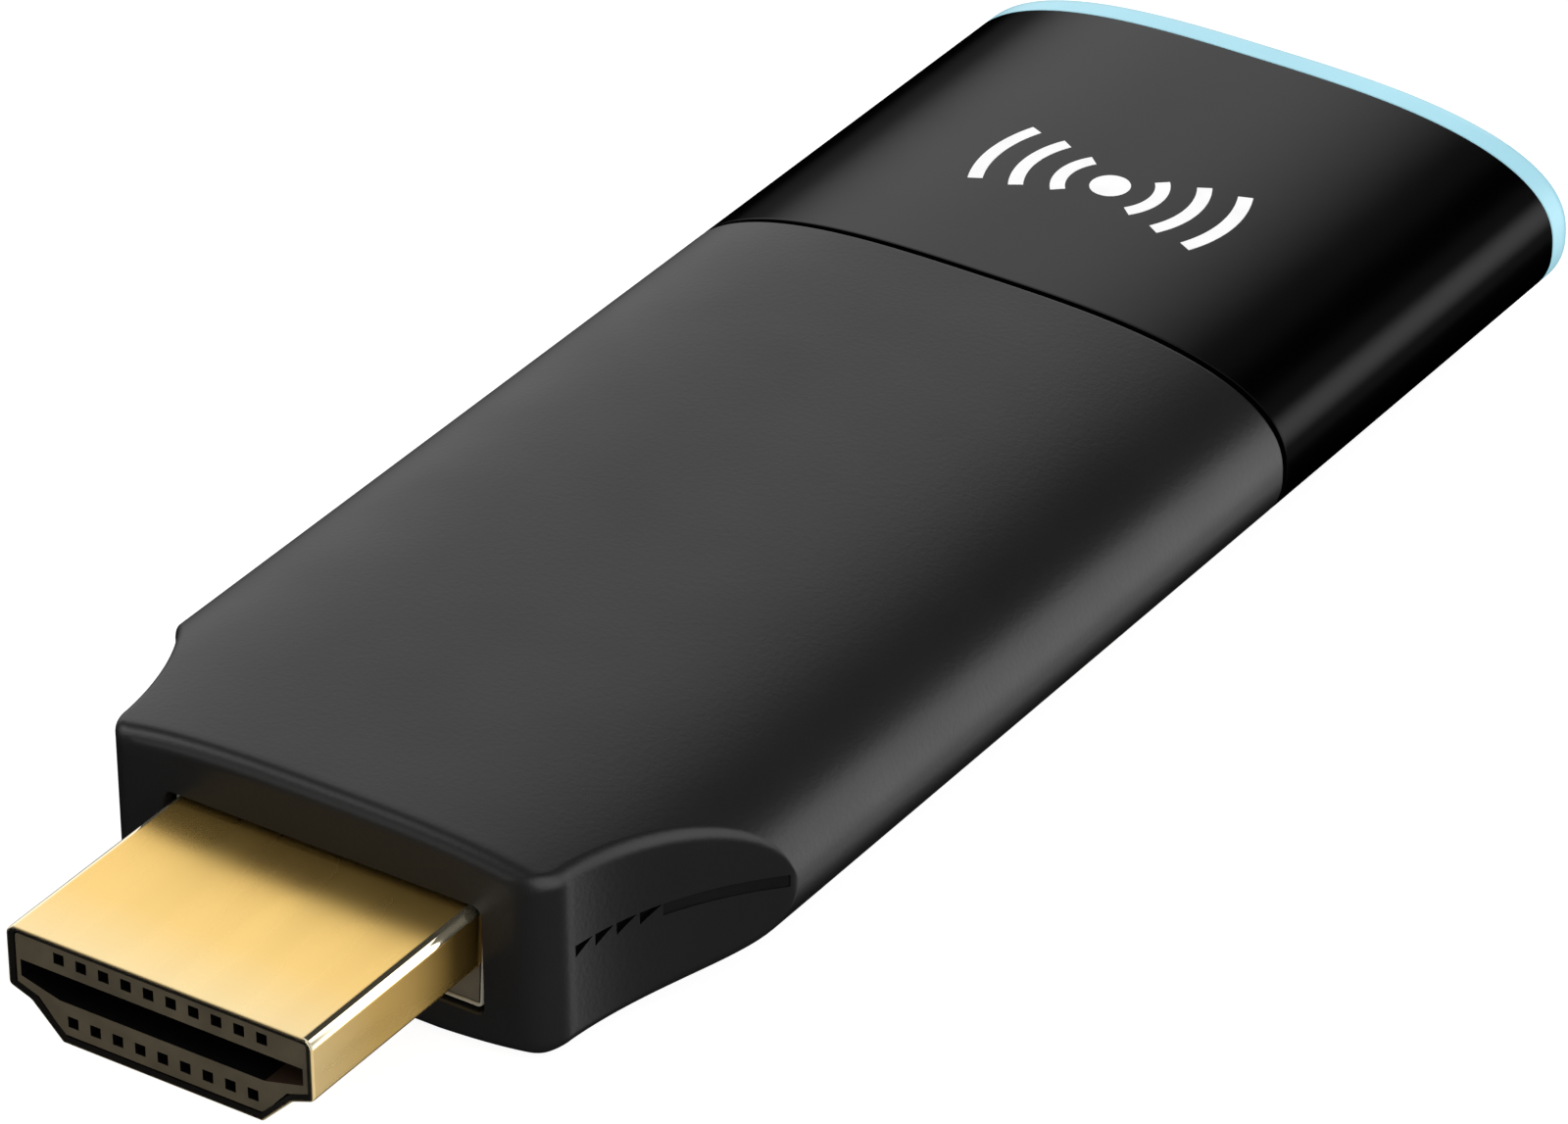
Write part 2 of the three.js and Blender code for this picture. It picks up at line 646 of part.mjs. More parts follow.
function mainBoard() {
  const notchX = PORT_HALF_WIDTH + PORT_NOTCH_GAP;
  const notchY = PORT_START_Y - PORT_NOTCH_GAP;
  const outline = new THREE.Shape([
    new THREE.Vector2(-BOARD_FRONT_HALF_WIDTH, BOARD_FRONT_Y),
    new THREE.Vector2(BOARD_FRONT_HALF_WIDTH, BOARD_FRONT_Y),
    new THREE.Vector2(BOARD_FRONT_HALF_WIDTH, BOARD_SHOULDER_Y),
    new THREE.Vector2(BOARD_HALF_WIDTH, BOARD_SHOULDER_Y + BOARD_CORNER),
    new THREE.Vector2(BOARD_HALF_WIDTH, BOARD_END_Y - BOARD_CORNER),
    new THREE.Vector2(BOARD_HALF_WIDTH - BOARD_CORNER, BOARD_END_Y),
    new THREE.Vector2(notchX, BOARD_END_Y),
    new THREE.Vector2(notchX, notchY),
    new THREE.Vector2(-notchX, notchY),
    new THREE.Vector2(-notchX, BOARD_END_Y),
    new THREE.Vector2(BOARD_CORNER - BOARD_HALF_WIDTH, BOARD_END_Y),
    new THREE.Vector2(-BOARD_HALF_WIDTH, BOARD_END_Y - BOARD_CORNER),
    new THREE.Vector2(-BOARD_HALF_WIDTH, BOARD_SHOULDER_Y + BOARD_CORNER),
    new THREE.Vector2(-BOARD_FRONT_HALF_WIDTH, BOARD_SHOULDER_Y),
  ]);
  return prism(outline, 'z', BOARD_TOP_Z - BOARD_THICKNESS, BOARD_TOP_Z);
}

// A block on the board's top face, centred at x and y and raised by its lift.
function onBoard({ x, y, width, length, height, lift = 0 }) {
  const base = BOARD_TOP_Z + BOARD_SEAT + lift;
  return block(
    [x - width / 2, x + width / 2],
    [y - length / 2, y + length / 2],
    [base, base + height],
  );
}

function underBoard({ x, y, width, length, height }) {
  const top = BOARD_TOP_Z - BOARD_THICKNESS - BOARD_SEAT;
  return block(
    [x - width / 2, x + width / 2],
    [y - length / 2, y + length / 2],
    [top - height, top],
  );
}

// The radio's shield can: a lid with four walls, open at the board and along the
// foot of its front wall, where the aerial's track runs in.
function shieldCan() {
  const inside = {
    ...SHIELD_CAN,
    width: SHIELD_CAN.width - 2 * SHIELD_WALL,
    length: SHIELD_CAN.length - 2 * SHIELD_WALL,
    height: SHIELD_CAN.height - SHIELD_WALL,
    lift: -CUT_OVERLAP,
  };
  const gate = { ...SHIELD_GATE, lift: -CUT_OVERLAP };
  const can = toSolid(onBoard(SHIELD_CAN))
    .subtract(toSolid(onBoard(inside)))
    .subtract(toSolid(onBoard(gate)));
  return toGeometry(can);
}

// A flat aluminium plate with slots cut across it.
function heatSpreader() {
  let plate = toSolid(onBoard(SPREADER));
  for (const y of SPREADER_SLOT_Y) {
    plate = plate.subtract(toSolid(onBoard({ ...SPREADER_SLOT, y })));
  }
  return toGeometry(plate);
}

// ---------------------------------------------------------------- power port

function portShell() {
  const shape = new THREE.Shape(portOutline(0));
  shape.holes.push(new THREE.Path(portOutline(-PORT_WALL)));
  return prism(shape, 'y', PORT_START_Y, PORT_MOUTH_Y);
}

function portTongue() {
  const back = prism(
    new THREE.Shape(portOutline(-PORT_WALL - BOARD_SEAT)),
    'y',
    PORT_START_Y,
    PORT_BLOCK_END_Y,
  );
  const tongue = block(
    [-TONGUE_HALF_WIDTH, TONGUE_HALF_WIDTH],
    [PORT_START_Y + BOARD_SEAT, TONGUE_END_Y],
    [TONGUE_Z - TONGUE_HALF_HEIGHT, TONGUE_Z + TONGUE_HALF_HEIGHT],
  );
  return toGeometry(toSolid(back).add(toSolid(tongue)));
}

function portContact(index) {
  const x = (index - (PORT_CONTACT_COUNT - 1) / 2) * PORT_CONTACT_PITCH;
  const top = TONGUE_Z - TONGUE_HALF_HEIGHT - BOARD_SEAT;
  return block(
    [x - PORT_CONTACT_WIDTH / 2, x + PORT_CONTACT_WIDTH / 2],
    [PORT_BLOCK_END_Y + BOARD_SEAT, TONGUE_END_Y - BOARD_SEAT],
    [top - PORT_CONTACT_THICKNESS, top],
  );
}

// ---------------------------------------------------------------- reset button, light

function resetButton() {
  const face = roundedRectangle(
    BUTTON_HALF_LENGTH,
    BUTTON_HALF_HEIGHT,
    BUTTON_HALF_HEIGHT,
    RESET_X,
    RESET_Z,
  );
  const flange = roundedRectangle(
    BUTTON_HALF_LENGTH + BUTTON_FLANGE,
    BUTTON_HALF_HEIGHT + BUTTON_FLANGE,
    BUTTON_FLANGE,
    RESET_X,
    RESET_Z,
  );
  const flangeEnd = PLATE_EDGE[0].y - BUTTON_FLANGE_GAP;
  const flangeStart = flangeEnd - BUTTON_FLANGE_THICKNESS;
  const button = toSolid(prism(face, 'y', BUTTON_FOOT_Y, BUTTON_FACE_Y))
    .add(toSolid(prism(flange, 'y', flangeStart, flangeEnd)));
  return toGeometry(button);
}

function switchBody() {
  const base = BOARD_TOP_Z + BOARD_SEAT;
  const body = block(
    [RESET_X - SWITCH_HALF_WIDTH, RESET_X + SWITCH_HALF_WIDTH],
    [SWITCH_START_Y, SWITCH_END_Y],
    [base, base + SWITCH_HEIGHT],
  );
  const bore = PLUNGER_HALF_SIZE + PLUNGER_GAP;
  const pocket = block(
    [RESET_X - bore, RESET_X + bore],
    [PLUNGER_START_Y - PLUNGER_TRAVEL_ROOM, SWITCH_END_Y + OVERRUN],
    [RESET_Z - bore, RESET_Z + bore],
  );
  return toGeometry(toSolid(body).subtract(toSolid(pocket)));
}

function switchPlunger() {
  return block(
    [RESET_X - PLUNGER_HALF_SIZE, RESET_X + PLUNGER_HALF_SIZE],
    [PLUNGER_START_Y, BUTTON_FOOT_Y - BOARD_SEAT],
    [RESET_Z - PLUNGER_HALF_SIZE, RESET_Z + PLUNGER_HALF_SIZE],
  );
}

function lightGuide() {
  return roundBar(LIGHT_RADIUS, LIGHT_X, LIGHT_Z, LIGHT_START_Y, CASE_END_Y - LIGHT_HOLE_GAP);
}

// ---------------------------------------------------------------- assembly

function piece(name, geometry, finish) {
  const mesh = new THREE.Mesh(geometry, finish);
  mesh.name = name;
  return mesh;
}

function numbered(stem, index) {
  return `${stem}_${String(index + 1).padStart(2, '0')}`;
}

function casing() {
  const group = new THREE.Group();
  group.add(piece('front_housing', frontHousing(), mattePlastic()));
  group.add(piece('rear_cap', rearCap(), glossPlastic()));
  group.add(piece('end_plate', endPlate(), bluePlastic()));
  return group;
}

function videoPlug() {
  const group = new THREE.Group();
  group.position.z = PLUG_Z;
  group.add(piece('plug_shell', plugShell(), goldPlate()));
  group.add(piece('plug_insulator', plugInsulator(), insulatorPlastic()));
  group.add(piece('plug_collar', plugCollar(), collarSteel()));
  const lift = BOARD_SEAT + CONTACT_THICKNESS / 2;
  const upperTail = BOARD_TOP_Z + lift - PLUG_Z;
  const lowerTail = BOARD_TOP_Z - BOARD_THICKNESS - lift - PLUG_Z;
  for (let i = 0; i < CONTACT_UPPER_COUNT; i += 1) {
    const strip = plugContact(contactX(i, CONTACT_UPPER_COUNT), CONTACT_UPPER_Z, upperTail);
    group.add(piece(numbered('plug_contact_upper', i), strip, goldPlate()));
  }
  for (let i = 0; i < CONTACT_LOWER_COUNT; i += 1) {
    const strip = plugContact(contactX(i, CONTACT_LOWER_COUNT), CONTACT_LOWER_Z, lowerTail);
    group.add(piece(numbered('plug_contact_lower', i), strip, goldPlate()));
  }
  return group;
}

function electronics() {
  const group = new THREE.Group();
  const add = (name, geometry, finish) => group.add(piece(name, geometry, finish));
  add('main_board', mainBoard(), boardLaminate());
  add('processor', onBoard(PROCESSOR), chipEpoxy());
  add('processor_heat_pad', onBoard(HEAT_PAD), heatPadRubber());
  add('heat_spreader', heatSpreader(), aluminium());
  add('memory_chip_left', onBoard({ x: -MEMORY_CHIP_X, ...MEMORY_CHIP }), chipEpoxy());
  add('memory_chip_right', onBoard({ x: MEMORY_CHIP_X, ...MEMORY_CHIP }), chipEpoxy());
  add('flash_chip', underBoard(FLASH_CHIP), chipEpoxy());
  add('radio_chip', onBoard(RADIO_CHIP), chipEpoxy());
  add('radio_shield_can', shieldCan(), tinnedSteel());
  add('radio_crystal', onBoard(RADIO_CRYSTAL), tinnedSteel());
  add('processor_crystal', onBoard(PROCESSOR_CRYSTAL), tinnedSteel());
  INDUCTOR_X.forEach((x, i) => {
    add(numbered('power_inductor', i), onBoard({ x, ...INDUCTOR }), chipEpoxy());
  });
  CAPACITOR_Y.forEach((y, i) => {
    add(numbered('capacitor', i), onBoard({ y, ...CAPACITOR }), ceramic());
  });
  add('antenna_left', onBoard({ x: -ANTENNA_X, ...ANTENNA }), ceramic());
  add('antenna_right', onBoard({ x: ANTENNA_X, ...ANTENNA }), ceramic());
  return group;
}

function powerPort() {
  const group = new THREE.Group();
  group.add(piece('power_port_shell', portShell(), tinnedSteel()));
  group.add(piece('power_port_tongue', portTongue(), chipEpoxy()));
  for (let i = 0; i < PORT_CONTACT_COUNT; i += 1) {
    group.add(piece(numbered('power_port_contact', i), portContact(i), goldPlate()));
  }
  return group;
}

function endControls() {
  const group = new THREE.Group();
  group.add(piece('reset_switch_body', switchBody(), chipEpoxy()));
  group.add(piece('reset_switch_plunger', switchPlunger(), buttonPlastic()));
  group.add(piece('reset_button', resetButton(), buttonPlastic()));
  group.add(piece('status_light', onBoard(STATUS_LIGHT), clearLens()));
  group.add(piece('light_guide', lightGuide(), clearLens()));
  return group;
}

const device = new THREE.Group();
device.position.set(0, (PLUG_LENGTH - CASE_END_Y) / 2, REST_DEPTH);
device.add(casing(), videoPlug(), electronics(), powerPort(), endControls());

export default device;
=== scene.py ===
import json
import math

import bpy
import bmesh
from mathutils import Matrix, Vector


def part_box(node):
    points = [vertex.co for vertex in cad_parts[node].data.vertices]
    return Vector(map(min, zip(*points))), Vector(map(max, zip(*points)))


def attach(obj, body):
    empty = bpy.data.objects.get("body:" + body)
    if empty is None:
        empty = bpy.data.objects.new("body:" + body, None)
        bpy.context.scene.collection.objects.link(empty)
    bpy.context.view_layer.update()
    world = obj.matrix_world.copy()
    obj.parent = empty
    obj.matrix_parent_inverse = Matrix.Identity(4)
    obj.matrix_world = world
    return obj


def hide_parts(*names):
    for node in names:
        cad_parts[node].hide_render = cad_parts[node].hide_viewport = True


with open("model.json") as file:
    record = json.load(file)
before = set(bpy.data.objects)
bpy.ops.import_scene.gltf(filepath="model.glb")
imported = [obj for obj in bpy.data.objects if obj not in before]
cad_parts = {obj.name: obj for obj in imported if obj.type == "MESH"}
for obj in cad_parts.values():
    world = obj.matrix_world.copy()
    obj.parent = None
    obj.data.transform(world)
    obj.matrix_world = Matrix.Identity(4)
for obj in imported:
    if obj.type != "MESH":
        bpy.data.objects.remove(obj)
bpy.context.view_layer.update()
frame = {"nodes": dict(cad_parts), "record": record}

MM = 0.001

# The casing's section: |x / half width| ^ SIDE_POWER + |z / half height| ^ TOP_POWER = 1, in mm
SIDE_POWER = 2.99
TOP_POWER = 2.41
HALF_HEIGHT = 4.56
REST_DEPTH = 4.48
WALL = 1.2

housing_low, housing_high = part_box("front_housing")
cap_low, cap_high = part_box("rear_cap")
_plate_low, plate_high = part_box("end_plate")
plug_low, plug_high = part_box("plug_shell")
button_low, button_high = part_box("reset_button")
guide_low, guide_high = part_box("light_guide")
port_low, port_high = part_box("power_port_shell")

# The pieces are drawn in mm from the casing's front face and the middle of its section.
ORIGIN = Vector((0, housing_low.y, housing_low.z + REST_DEPTH * MM))
HALF_WIDTH = housing_high.x / MM
SEAM_END = (cap_low.y - ORIGIN.y) / MM
SEAM_START = SEAM_END - 0.22
CAP_END = (cap_high.y - ORIGIN.y) / MM
CASE_END = (plate_high.y - ORIGIN.y) / MM
PLUG_Z = ((plug_low.z + plug_high.z) / 2 - ORIGIN.z) / MM
PLUG_HALF_WIDTH = plug_high.x / MM
PLUG_HALF_HEIGHT = (plug_high.z - plug_low.z) / 2 / MM
PLUG_TIP = (plug_low.y - ORIGIN.y) / MM
PLUG_ROOT = (plug_high.y - ORIGIN.y) / MM

# Front housing, mm
FRONT_WALL = 1.4
EDGE_RADIUS = 0.75
CORNER_RADIUS = 1.6
SCOOP_CENTRE_X = 24.08
SCOOP_RADIUS = 13.93
SHOULDER_RADIUS = 0.8
SCOOP_EDGE_RADIUS = 0.7
SCOOP_INNER_RADIUS = 0.2
OPENING_HALF_WIDTH = 7.25
OPENING_HALF_HEIGHT = 2.36
OPENING_RADIUS = 0.35
OPENING_FLARE = 0.06
OPENING_FLARE_DEPTH = 0.08
SEAM_RADIUS = 0.16
SPIGOT_INSET = WALL + 0.15
SPIGOT_WALL = 0.8
SPIGOT_LENGTH = 3.2
SPIGOT_CHAMFER = 0.2
SPIGOT_ROOT = 1.8

# Arrow marks and groove in the scoops, mm
MARK_TOP = 0.47
MARK_HEIGHT = 0.52
ARROW_COUNT = 4
ARROW_START = 1.74
ARROW_LENGTH = 0.92
ARROW_TIP_CUT = 0.97
ARROW_PITCH = 1.02
ARROW_DEPTH = 0.2
GROOVE_START = 5.75
GROOVE_STEP = 0.26
GROOVE_POINTS = 17
GROOVE_DEPTH = 0.08

# End plate and what sits in it, mm
PLATE_GAP = 0.02
PLATE_PLUG_DEPTH = 2.2
PLATE_PLUG_WALL = 0.8
PLATE_EDGE_DEPTH = 0.62
PLATE_EDGE_INSET = 0.26
BUTTON_HALF = (1.4, 0.7)
BUTTON_FLANGE = 0.25
GUIDE_RADIUS = 0.6
PORT_WALL = 0.28
PORT_FOOT_HALF_WIDTH = 2.75
PORT_SHOULDER_Z = -0.45

# Video plug, mm
PLUG_WALL = 0.28
PLUG_FOOT_HALF_WIDTH = 4.55
PLUG_WAIST_HALF_WIDTH = 5.95
PLUG_WAIST_Z = -0.82
PLUG_SHOULDER_Z = -0.45

# Printed mark, mm
PRINT_LIFT = 0.006
PRINT_THICKNESS = 0.02

# Steps round a quarter of the section and up its straight side
QUARTER_STEPS = 60
WALL_STEPS = 6

# Edges that turn by more than this stay sharp
SHARP_DEGREES = 35.0


def at(x, y, z):
    """A point given in mm from the casing's front face and mid height, in the row frame."""
    return ORIGIN + Vector((x, y, z)) * MM


# ---------------------------------------------------------------- mesh helpers


def finish_mesh(name, bm, materials, weighted=True):
    """Makes an object of a bmesh: outward faces, smooth shading with sharp edges kept."""
    bmesh.ops.remove_doubles(bm, verts=bm.verts, dist=0.5e-6)
    bmesh.ops.dissolve_degenerate(bm, edges=bm.edges, dist=0.5e-6)
    bmesh.ops.recalc_face_normals(bm, faces=bm.faces)
    mesh = bpy.data.meshes.new(name)
    bm.to_mesh(mesh)
    bm.free()
    for material in materials:
        mesh.materials.append(material)
    smooth_mesh(mesh)
    piece = bpy.data.objects.new(name, mesh)
    bpy.context.scene.collection.objects.link(piece)
    if weighted:
        modifier = piece.modifiers.new("weighted", "WEIGHTED_NORMAL")
        modifier.keep_sharp = True
    return piece


def smooth_mesh(mesh):
    mesh.polygons.foreach_set("use_smooth", [True] * len(mesh.polygons))
    mesh.set_sharp_from_angle(angle=math.radians(SHARP_DEGREES))


def ring_bmesh(rings, closed, material_of_band=None):
    """Joins rings of equal point counts, in mm. Closed joins the last ring to the first;
    otherwise both ends are filled with a fan."""
    bm = bmesh.new()
    loops = [[bm.verts.new(at(*point)) for point in ring] for ring in rings]
    count = len(rings[0])
    bands = len(loops) if closed else len(loops) - 1
    for band in range(bands):
        first = loops[band]
        second = loops[(band + 1) % len(loops)]
        for i in range(count):
            j = (i + 1) % count
            face = bm.faces.new((first[i], first[j], second[j], second[i]))
            if material_of_band:
                face.material_index = material_of_band(band)
    if not closed:
        for loop in (loops[0], loops[-1]):
            centre = bm.verts.new(sum((v.co for v in loop), Vector()) / count)
            for i in range(count):
                bm.faces.new((loop[i], loop[(i + 1) % count], centre))
    return bm


def place_ring(outline, y, dz=0.0):
    """An (x, z) outline as a ring of points at y, raised by dz."""
    return [(x, y, z + dz) for x, z in outline]


def set_back(ring, above_z, depth):
    """Moves the part of a ring that is above a height back along Y, with a short ramp."""
    ramp = 0.25
    moved = []
    for x, y, z in ring:
        share = min(max((z - above_z) / ramp, 0.0), 1.0)
        moved.append((x, y + depth * share, z))
    return moved


def cut(piece, cutters):
    """Subtracts the cutters and removes them. Their cut faces keep the cutter's material."""
    for cutter in cutters:
        modifier = piece.modifiers.new("cut", "BOOLEAN")
        modifier.operation = "DIFFERENCE"
        modifier.solver = "EXACT"
        modifier.object = cutter
        modifier.material_mode = "TRANSFER"
        while len(piece.modifiers) > 1 and piece.modifiers[0] != modifier:
            piece.modifiers.move(piece.modifiers.find("cut"), 0)
        graph = bpy.context.evaluated_depsgraph_get()
        others = [m for m in piece.modifiers if m != modifier]
        for other in others:
            other.show_viewport = False
        graph.update()
        mesh = bpy.data.meshes.new_from_object(piece.evaluated_get(graph))
        for other in others:
            other.show_viewport = True
        piece.modifiers.remove(modifier)
        piece.data = mesh
        smooth_mesh(mesh)
        bpy.data.objects.remove(cutter)


# ---------------------------------------------------------------- the casing's section


def crown_point(a, b, t):
    """A point of the section with half width a and half height b, and its outward normal."""
    x = a * max(math.cos(t), 0.0) ** (2 / SIDE_POWER)
    z = b * max(math.sin(t), 0.0) ** (2 / TOP_POWER)
    nx = SIDE_POWER / a * (x / a) ** (SIDE_POWER - 1)
    nz = TOP_POWER / b * (z / b) ** (TOP_POWER - 1)
    length = math.hypot(nx, nz)
    return x, z, nx / length, nz / length


def fillet_start(a, b, w, radius):
    """The parameter at which the crown meets the fillet down to a side wall at x = w."""
    if w >= a:
        return 0.0
    low, high = 0.0, math.pi / 2
    for _ in range(60):
        middle = (low + high) / 2
        x, _z, nx, _nz = crown_point(a, b, middle)
        if x - radius * nx > w - radius:
            low = middle
        else:
            high = middle
    return (low + high) / 2


def quarter_outline(a, b, w, radius):
    """From the middle of the right side up to the middle of the top."""
    start = fillet_start(a, b, w, radius)
    x, z, nx, nz = crown_point(a, b, start)
    centre_x, centre_z = x - radius * nx, z - radius * nz
    straight = centre_z if start > 0 else 0.0
    points = [(min(w, a), straight * i / WALL_STEPS) for i in range(WALL_STEPS)]
    for i in range(QUARTER_STEPS + 1):
        t = math.pi / 2 * i / QUARTER_STEPS
        x, z, nx, nz = crown_point(a, b, t)
        if t < start:
            x, z = centre_x + radius * nx, centre_z + radius * nz
        points.append((x, z))
    return points


def four_quarters(quarter):
    """Mirrors a quarter outline, right middle to top middle, into a closed one."""
    body, end = quarter[:-1], quarter[:0:-1]
    outline = list(body)
    outline += [(-x, z) for x, z in end]
    outline += [(-x, -z) for x, z in body]
    outline += [(x, -z) for x, z in end]
    return outline


def section(inset=0.0, w=math.inf, radius=SCOOP_EDGE_RADIUS, rest_inset=None):
    """A closed outline of the casing, shrunk by an inset, with side walls at x = w."""
    outline = four_quarters(quarter_outline(HALF_WIDTH - inset, HALF_HEIGHT - inset, w, radius))
    floor = -REST_DEPTH + (inset if rest_inset is None else rest_inset)
    return [(x, max(z, floor)) for x, z in outline]


def scoop_x(y, thickness=0.0):
    """Half width of the housing in plan at y, with the scoop's wall moved in by thickness."""
    radius = SCOOP_RADIUS + thickness
    shoulder_x = HALF_WIDTH - SHOULDER_RADIUS
    reach = SCOOP_RADIUS + SHOULDER_RADIUS
    shoulder_y = math.sqrt(reach**2 - (SCOOP_CENTRE_X - shoulder_x) ** 2)
    touch_y = shoulder_y * SCOOP_RADIUS / reach
    corner_x = front_corner_x()
    if thickness == 0.0 and y < CORNER_RADIUS:
        return corner_x + math.sqrt(max(CORNER_RADIUS**2 - (CORNER_RADIUS - y) ** 2, 0.0))
    if thickness == 0.0 and touch_y <= y < shoulder_y:
        return shoulder_x + math.sqrt(SHOULDER_RADIUS**2 - (shoulder_y - y) ** 2)
    if (thickness == 0.0 and y >= shoulder_y) or y >= radius:
        return math.inf
    return SCOOP_CENTRE_X - math.sqrt(radius**2 - y**2)


def front_corner_x():
    along = math.sqrt(SCOOP_RADIUS**2 - CORNER_RADIUS**2)
    return SCOOP_CENTRE_X - along - CORNER_RADIUS


def rounded_outline(vertices, offset=0.0, steps=6):
    """A closed outline from (x, z, corner radius) points listed anticlockwise, moved
    inwards by offset. Every corner gets the same number of points, so that outlines of
    different offsets can be joined."""
    count = len(vertices)
    outline = []
    moved = []
    for i in range(count):
        before = Vector(vertices[i - 1][:2])
        here = Vector(vertices[i][:2])
        after = Vector(vertices[(i + 1) % count][:2])
        into = (here - before).normalized()
        out = (after - here).normalized()
        n1, n2 = Vector((-into.y, into.x)), Vector((-out.y, out.x))
        bisector = (n1 + n2).normalized()
        moved.append((here + bisector * offset / bisector.dot(n1), into, out, n1, n2, bisector))
    for i in range(count):
        point, into, out, n1, n2, bisector = moved[i]
        turn = into.x * out.y - into.y * out.x
        sign = 1.0 if turn > 0 else -1.0
        radius = max(vertices[i][2] - sign * offset, 0.01)
        centre = point + bisector * sign * radius / bisector.dot(n1)
        angle_1 = math.atan2(-n1.y * sign, -n1.x * sign)
        angle_2 = math.atan2(-n2.y * sign, -n2.x * sign)
        delta = (angle_2 - angle_1 + math.pi) % (2 * math.pi) - math.pi
        for step in range(steps + 1):
            angle = angle_1 + delta * step / steps
            outline.append((centre.x + radius * math.cos(angle), centre.y + radius * math.sin(angle)))
    return outline


def rounded_rectangle(half_width, half_height, radius, offset=0.0):
    return rounded_outline([
        (half_width, -half_height, radius),
        (half_width, half_height, radius),
        (-half_width, half_height, radius),
        (-half_width, -half_height, radius),
    ], offset, steps=10)


def mirror_vertices(right_half):
    """Completes a right half, listed from bottom to top, with its mirror image."""
    return right_half + [(-x, z, r) for x, z, r in reversed(right_half)]


def even_quarter(half_width, half_height, radius, steps):
    """A quarter of a rounded rectangle, right middle to top middle, evenly spaced."""
    straight_up = half_height - radius
    arc = math.pi / 2 * radius
    total = straight_up + arc + half_width - radius
    points = []
    for i in range(steps + 1):
        s = total * i / steps
        if s <= straight_up:
            points.append((half_width, s))
        elif s <= straight_up + arc:
            angle = (s - straight_up) / radius
            points.append((
                half_width - radius + radius * math.cos(angle),
                straight_up + radius * math.sin(angle),
            ))
        else:
            points.append((total - s, half_height))
    return points


def rectangle_loop(half_width, half_height, radius, steps):
    return four_quarters(even_quarter(half_width, half_height, radius, steps))


# ---------------------------------------------------------------- materials


class Nodes:
    """A small wrapper that adds and links shader nodes."""

    def __init__(self, tree):
        self.tree = tree

    def add(self, kind, **values):
        node = self.tree.nodes.new(kind)
        for key, value in values.items():
            setattr(node, key, value)
        return node

    def link(self, output, socket):
        self.tree.links.new(output, socket)

    def noise(self, scale, detail=2.0, roughness=0.5, stretch=(1.0, 1.0, 1.0)):
        coords = self.add("ShaderNodeTexCoord")
        mapping = self.add("ShaderNodeMapping")
        mapping.inputs["Scale"].default_value = [scale * s for s in stretch]
        noise = self.add("ShaderNodeTexNoise")
        noise.inputs["Scale"].default_value = 1.0
        noise.inputs["Detail"].default_value = detail
        noise.inputs["Roughness"].default_value = roughness
        self.link(coords.outputs["Object"], mapping.inputs["Vector"])
        self.link(mapping.outputs["Vector"], noise.inputs["Vector"])
        return noise.outputs["Fac"]

    def spread(self, fac, low, high):
        """Maps the noise's middle range to low..high."""
        ranged = self.add("ShaderNodeMapRange")
        ranged.inputs["From Min"].default_value = 0.3
        ranged.inputs["From Max"].default_value = 0.7
        ranged.inputs["To Min"].default_value = low
        ranged.inputs["To Max"].default_value = high
        self.link(fac, ranged.inputs["Value"])
        return ranged.outputs["Result"]


def paint_light_along_y(nodes, base, painted_light):
    """Paints light and shade along the object's length: multiplies a colour by shares that follow it."""
    start, end = painted_light[0][0], painted_light[-1][0]
    coords = nodes.add("ShaderNodeTexCoord")
    split = nodes.add("ShaderNodeSeparateXYZ")
    nodes.link(coords.outputs["Object"], split.inputs["Vector"])
    along = nodes.add("ShaderNodeMapRange")
    along.inputs["From Min"].default_value = at(0, start, 0).y
    along.inputs["From Max"].default_value = at(0, end, 0).y
    nodes.link(split.outputs["Y"], along.inputs["Value"])
    steps = nodes.add("ShaderNodeValToRGB")
    for i, (y, share) in enumerate(painted_light):
        if 0 < i < len(painted_light) - 1:
            steps.color_ramp.elements.new((y - start) / (end - start))
        steps.color_ramp.elements[i].color = (*share, 1.0)
    nodes.link(along.outputs["Result"], steps.inputs["Fac"])
    lit_and_shaded = nodes.add("ShaderNodeMix", data_type="RGBA", blend_type="MULTIPLY")
    lit_and_shaded.inputs["Factor"].default_value = 1.0
    nodes.link(base, lit_and_shaded.inputs["A"])
    nodes.link(steps.outputs["Color"], lit_and_shaded.inputs["B"])
    return lit_and_shaded.outputs["Result"]


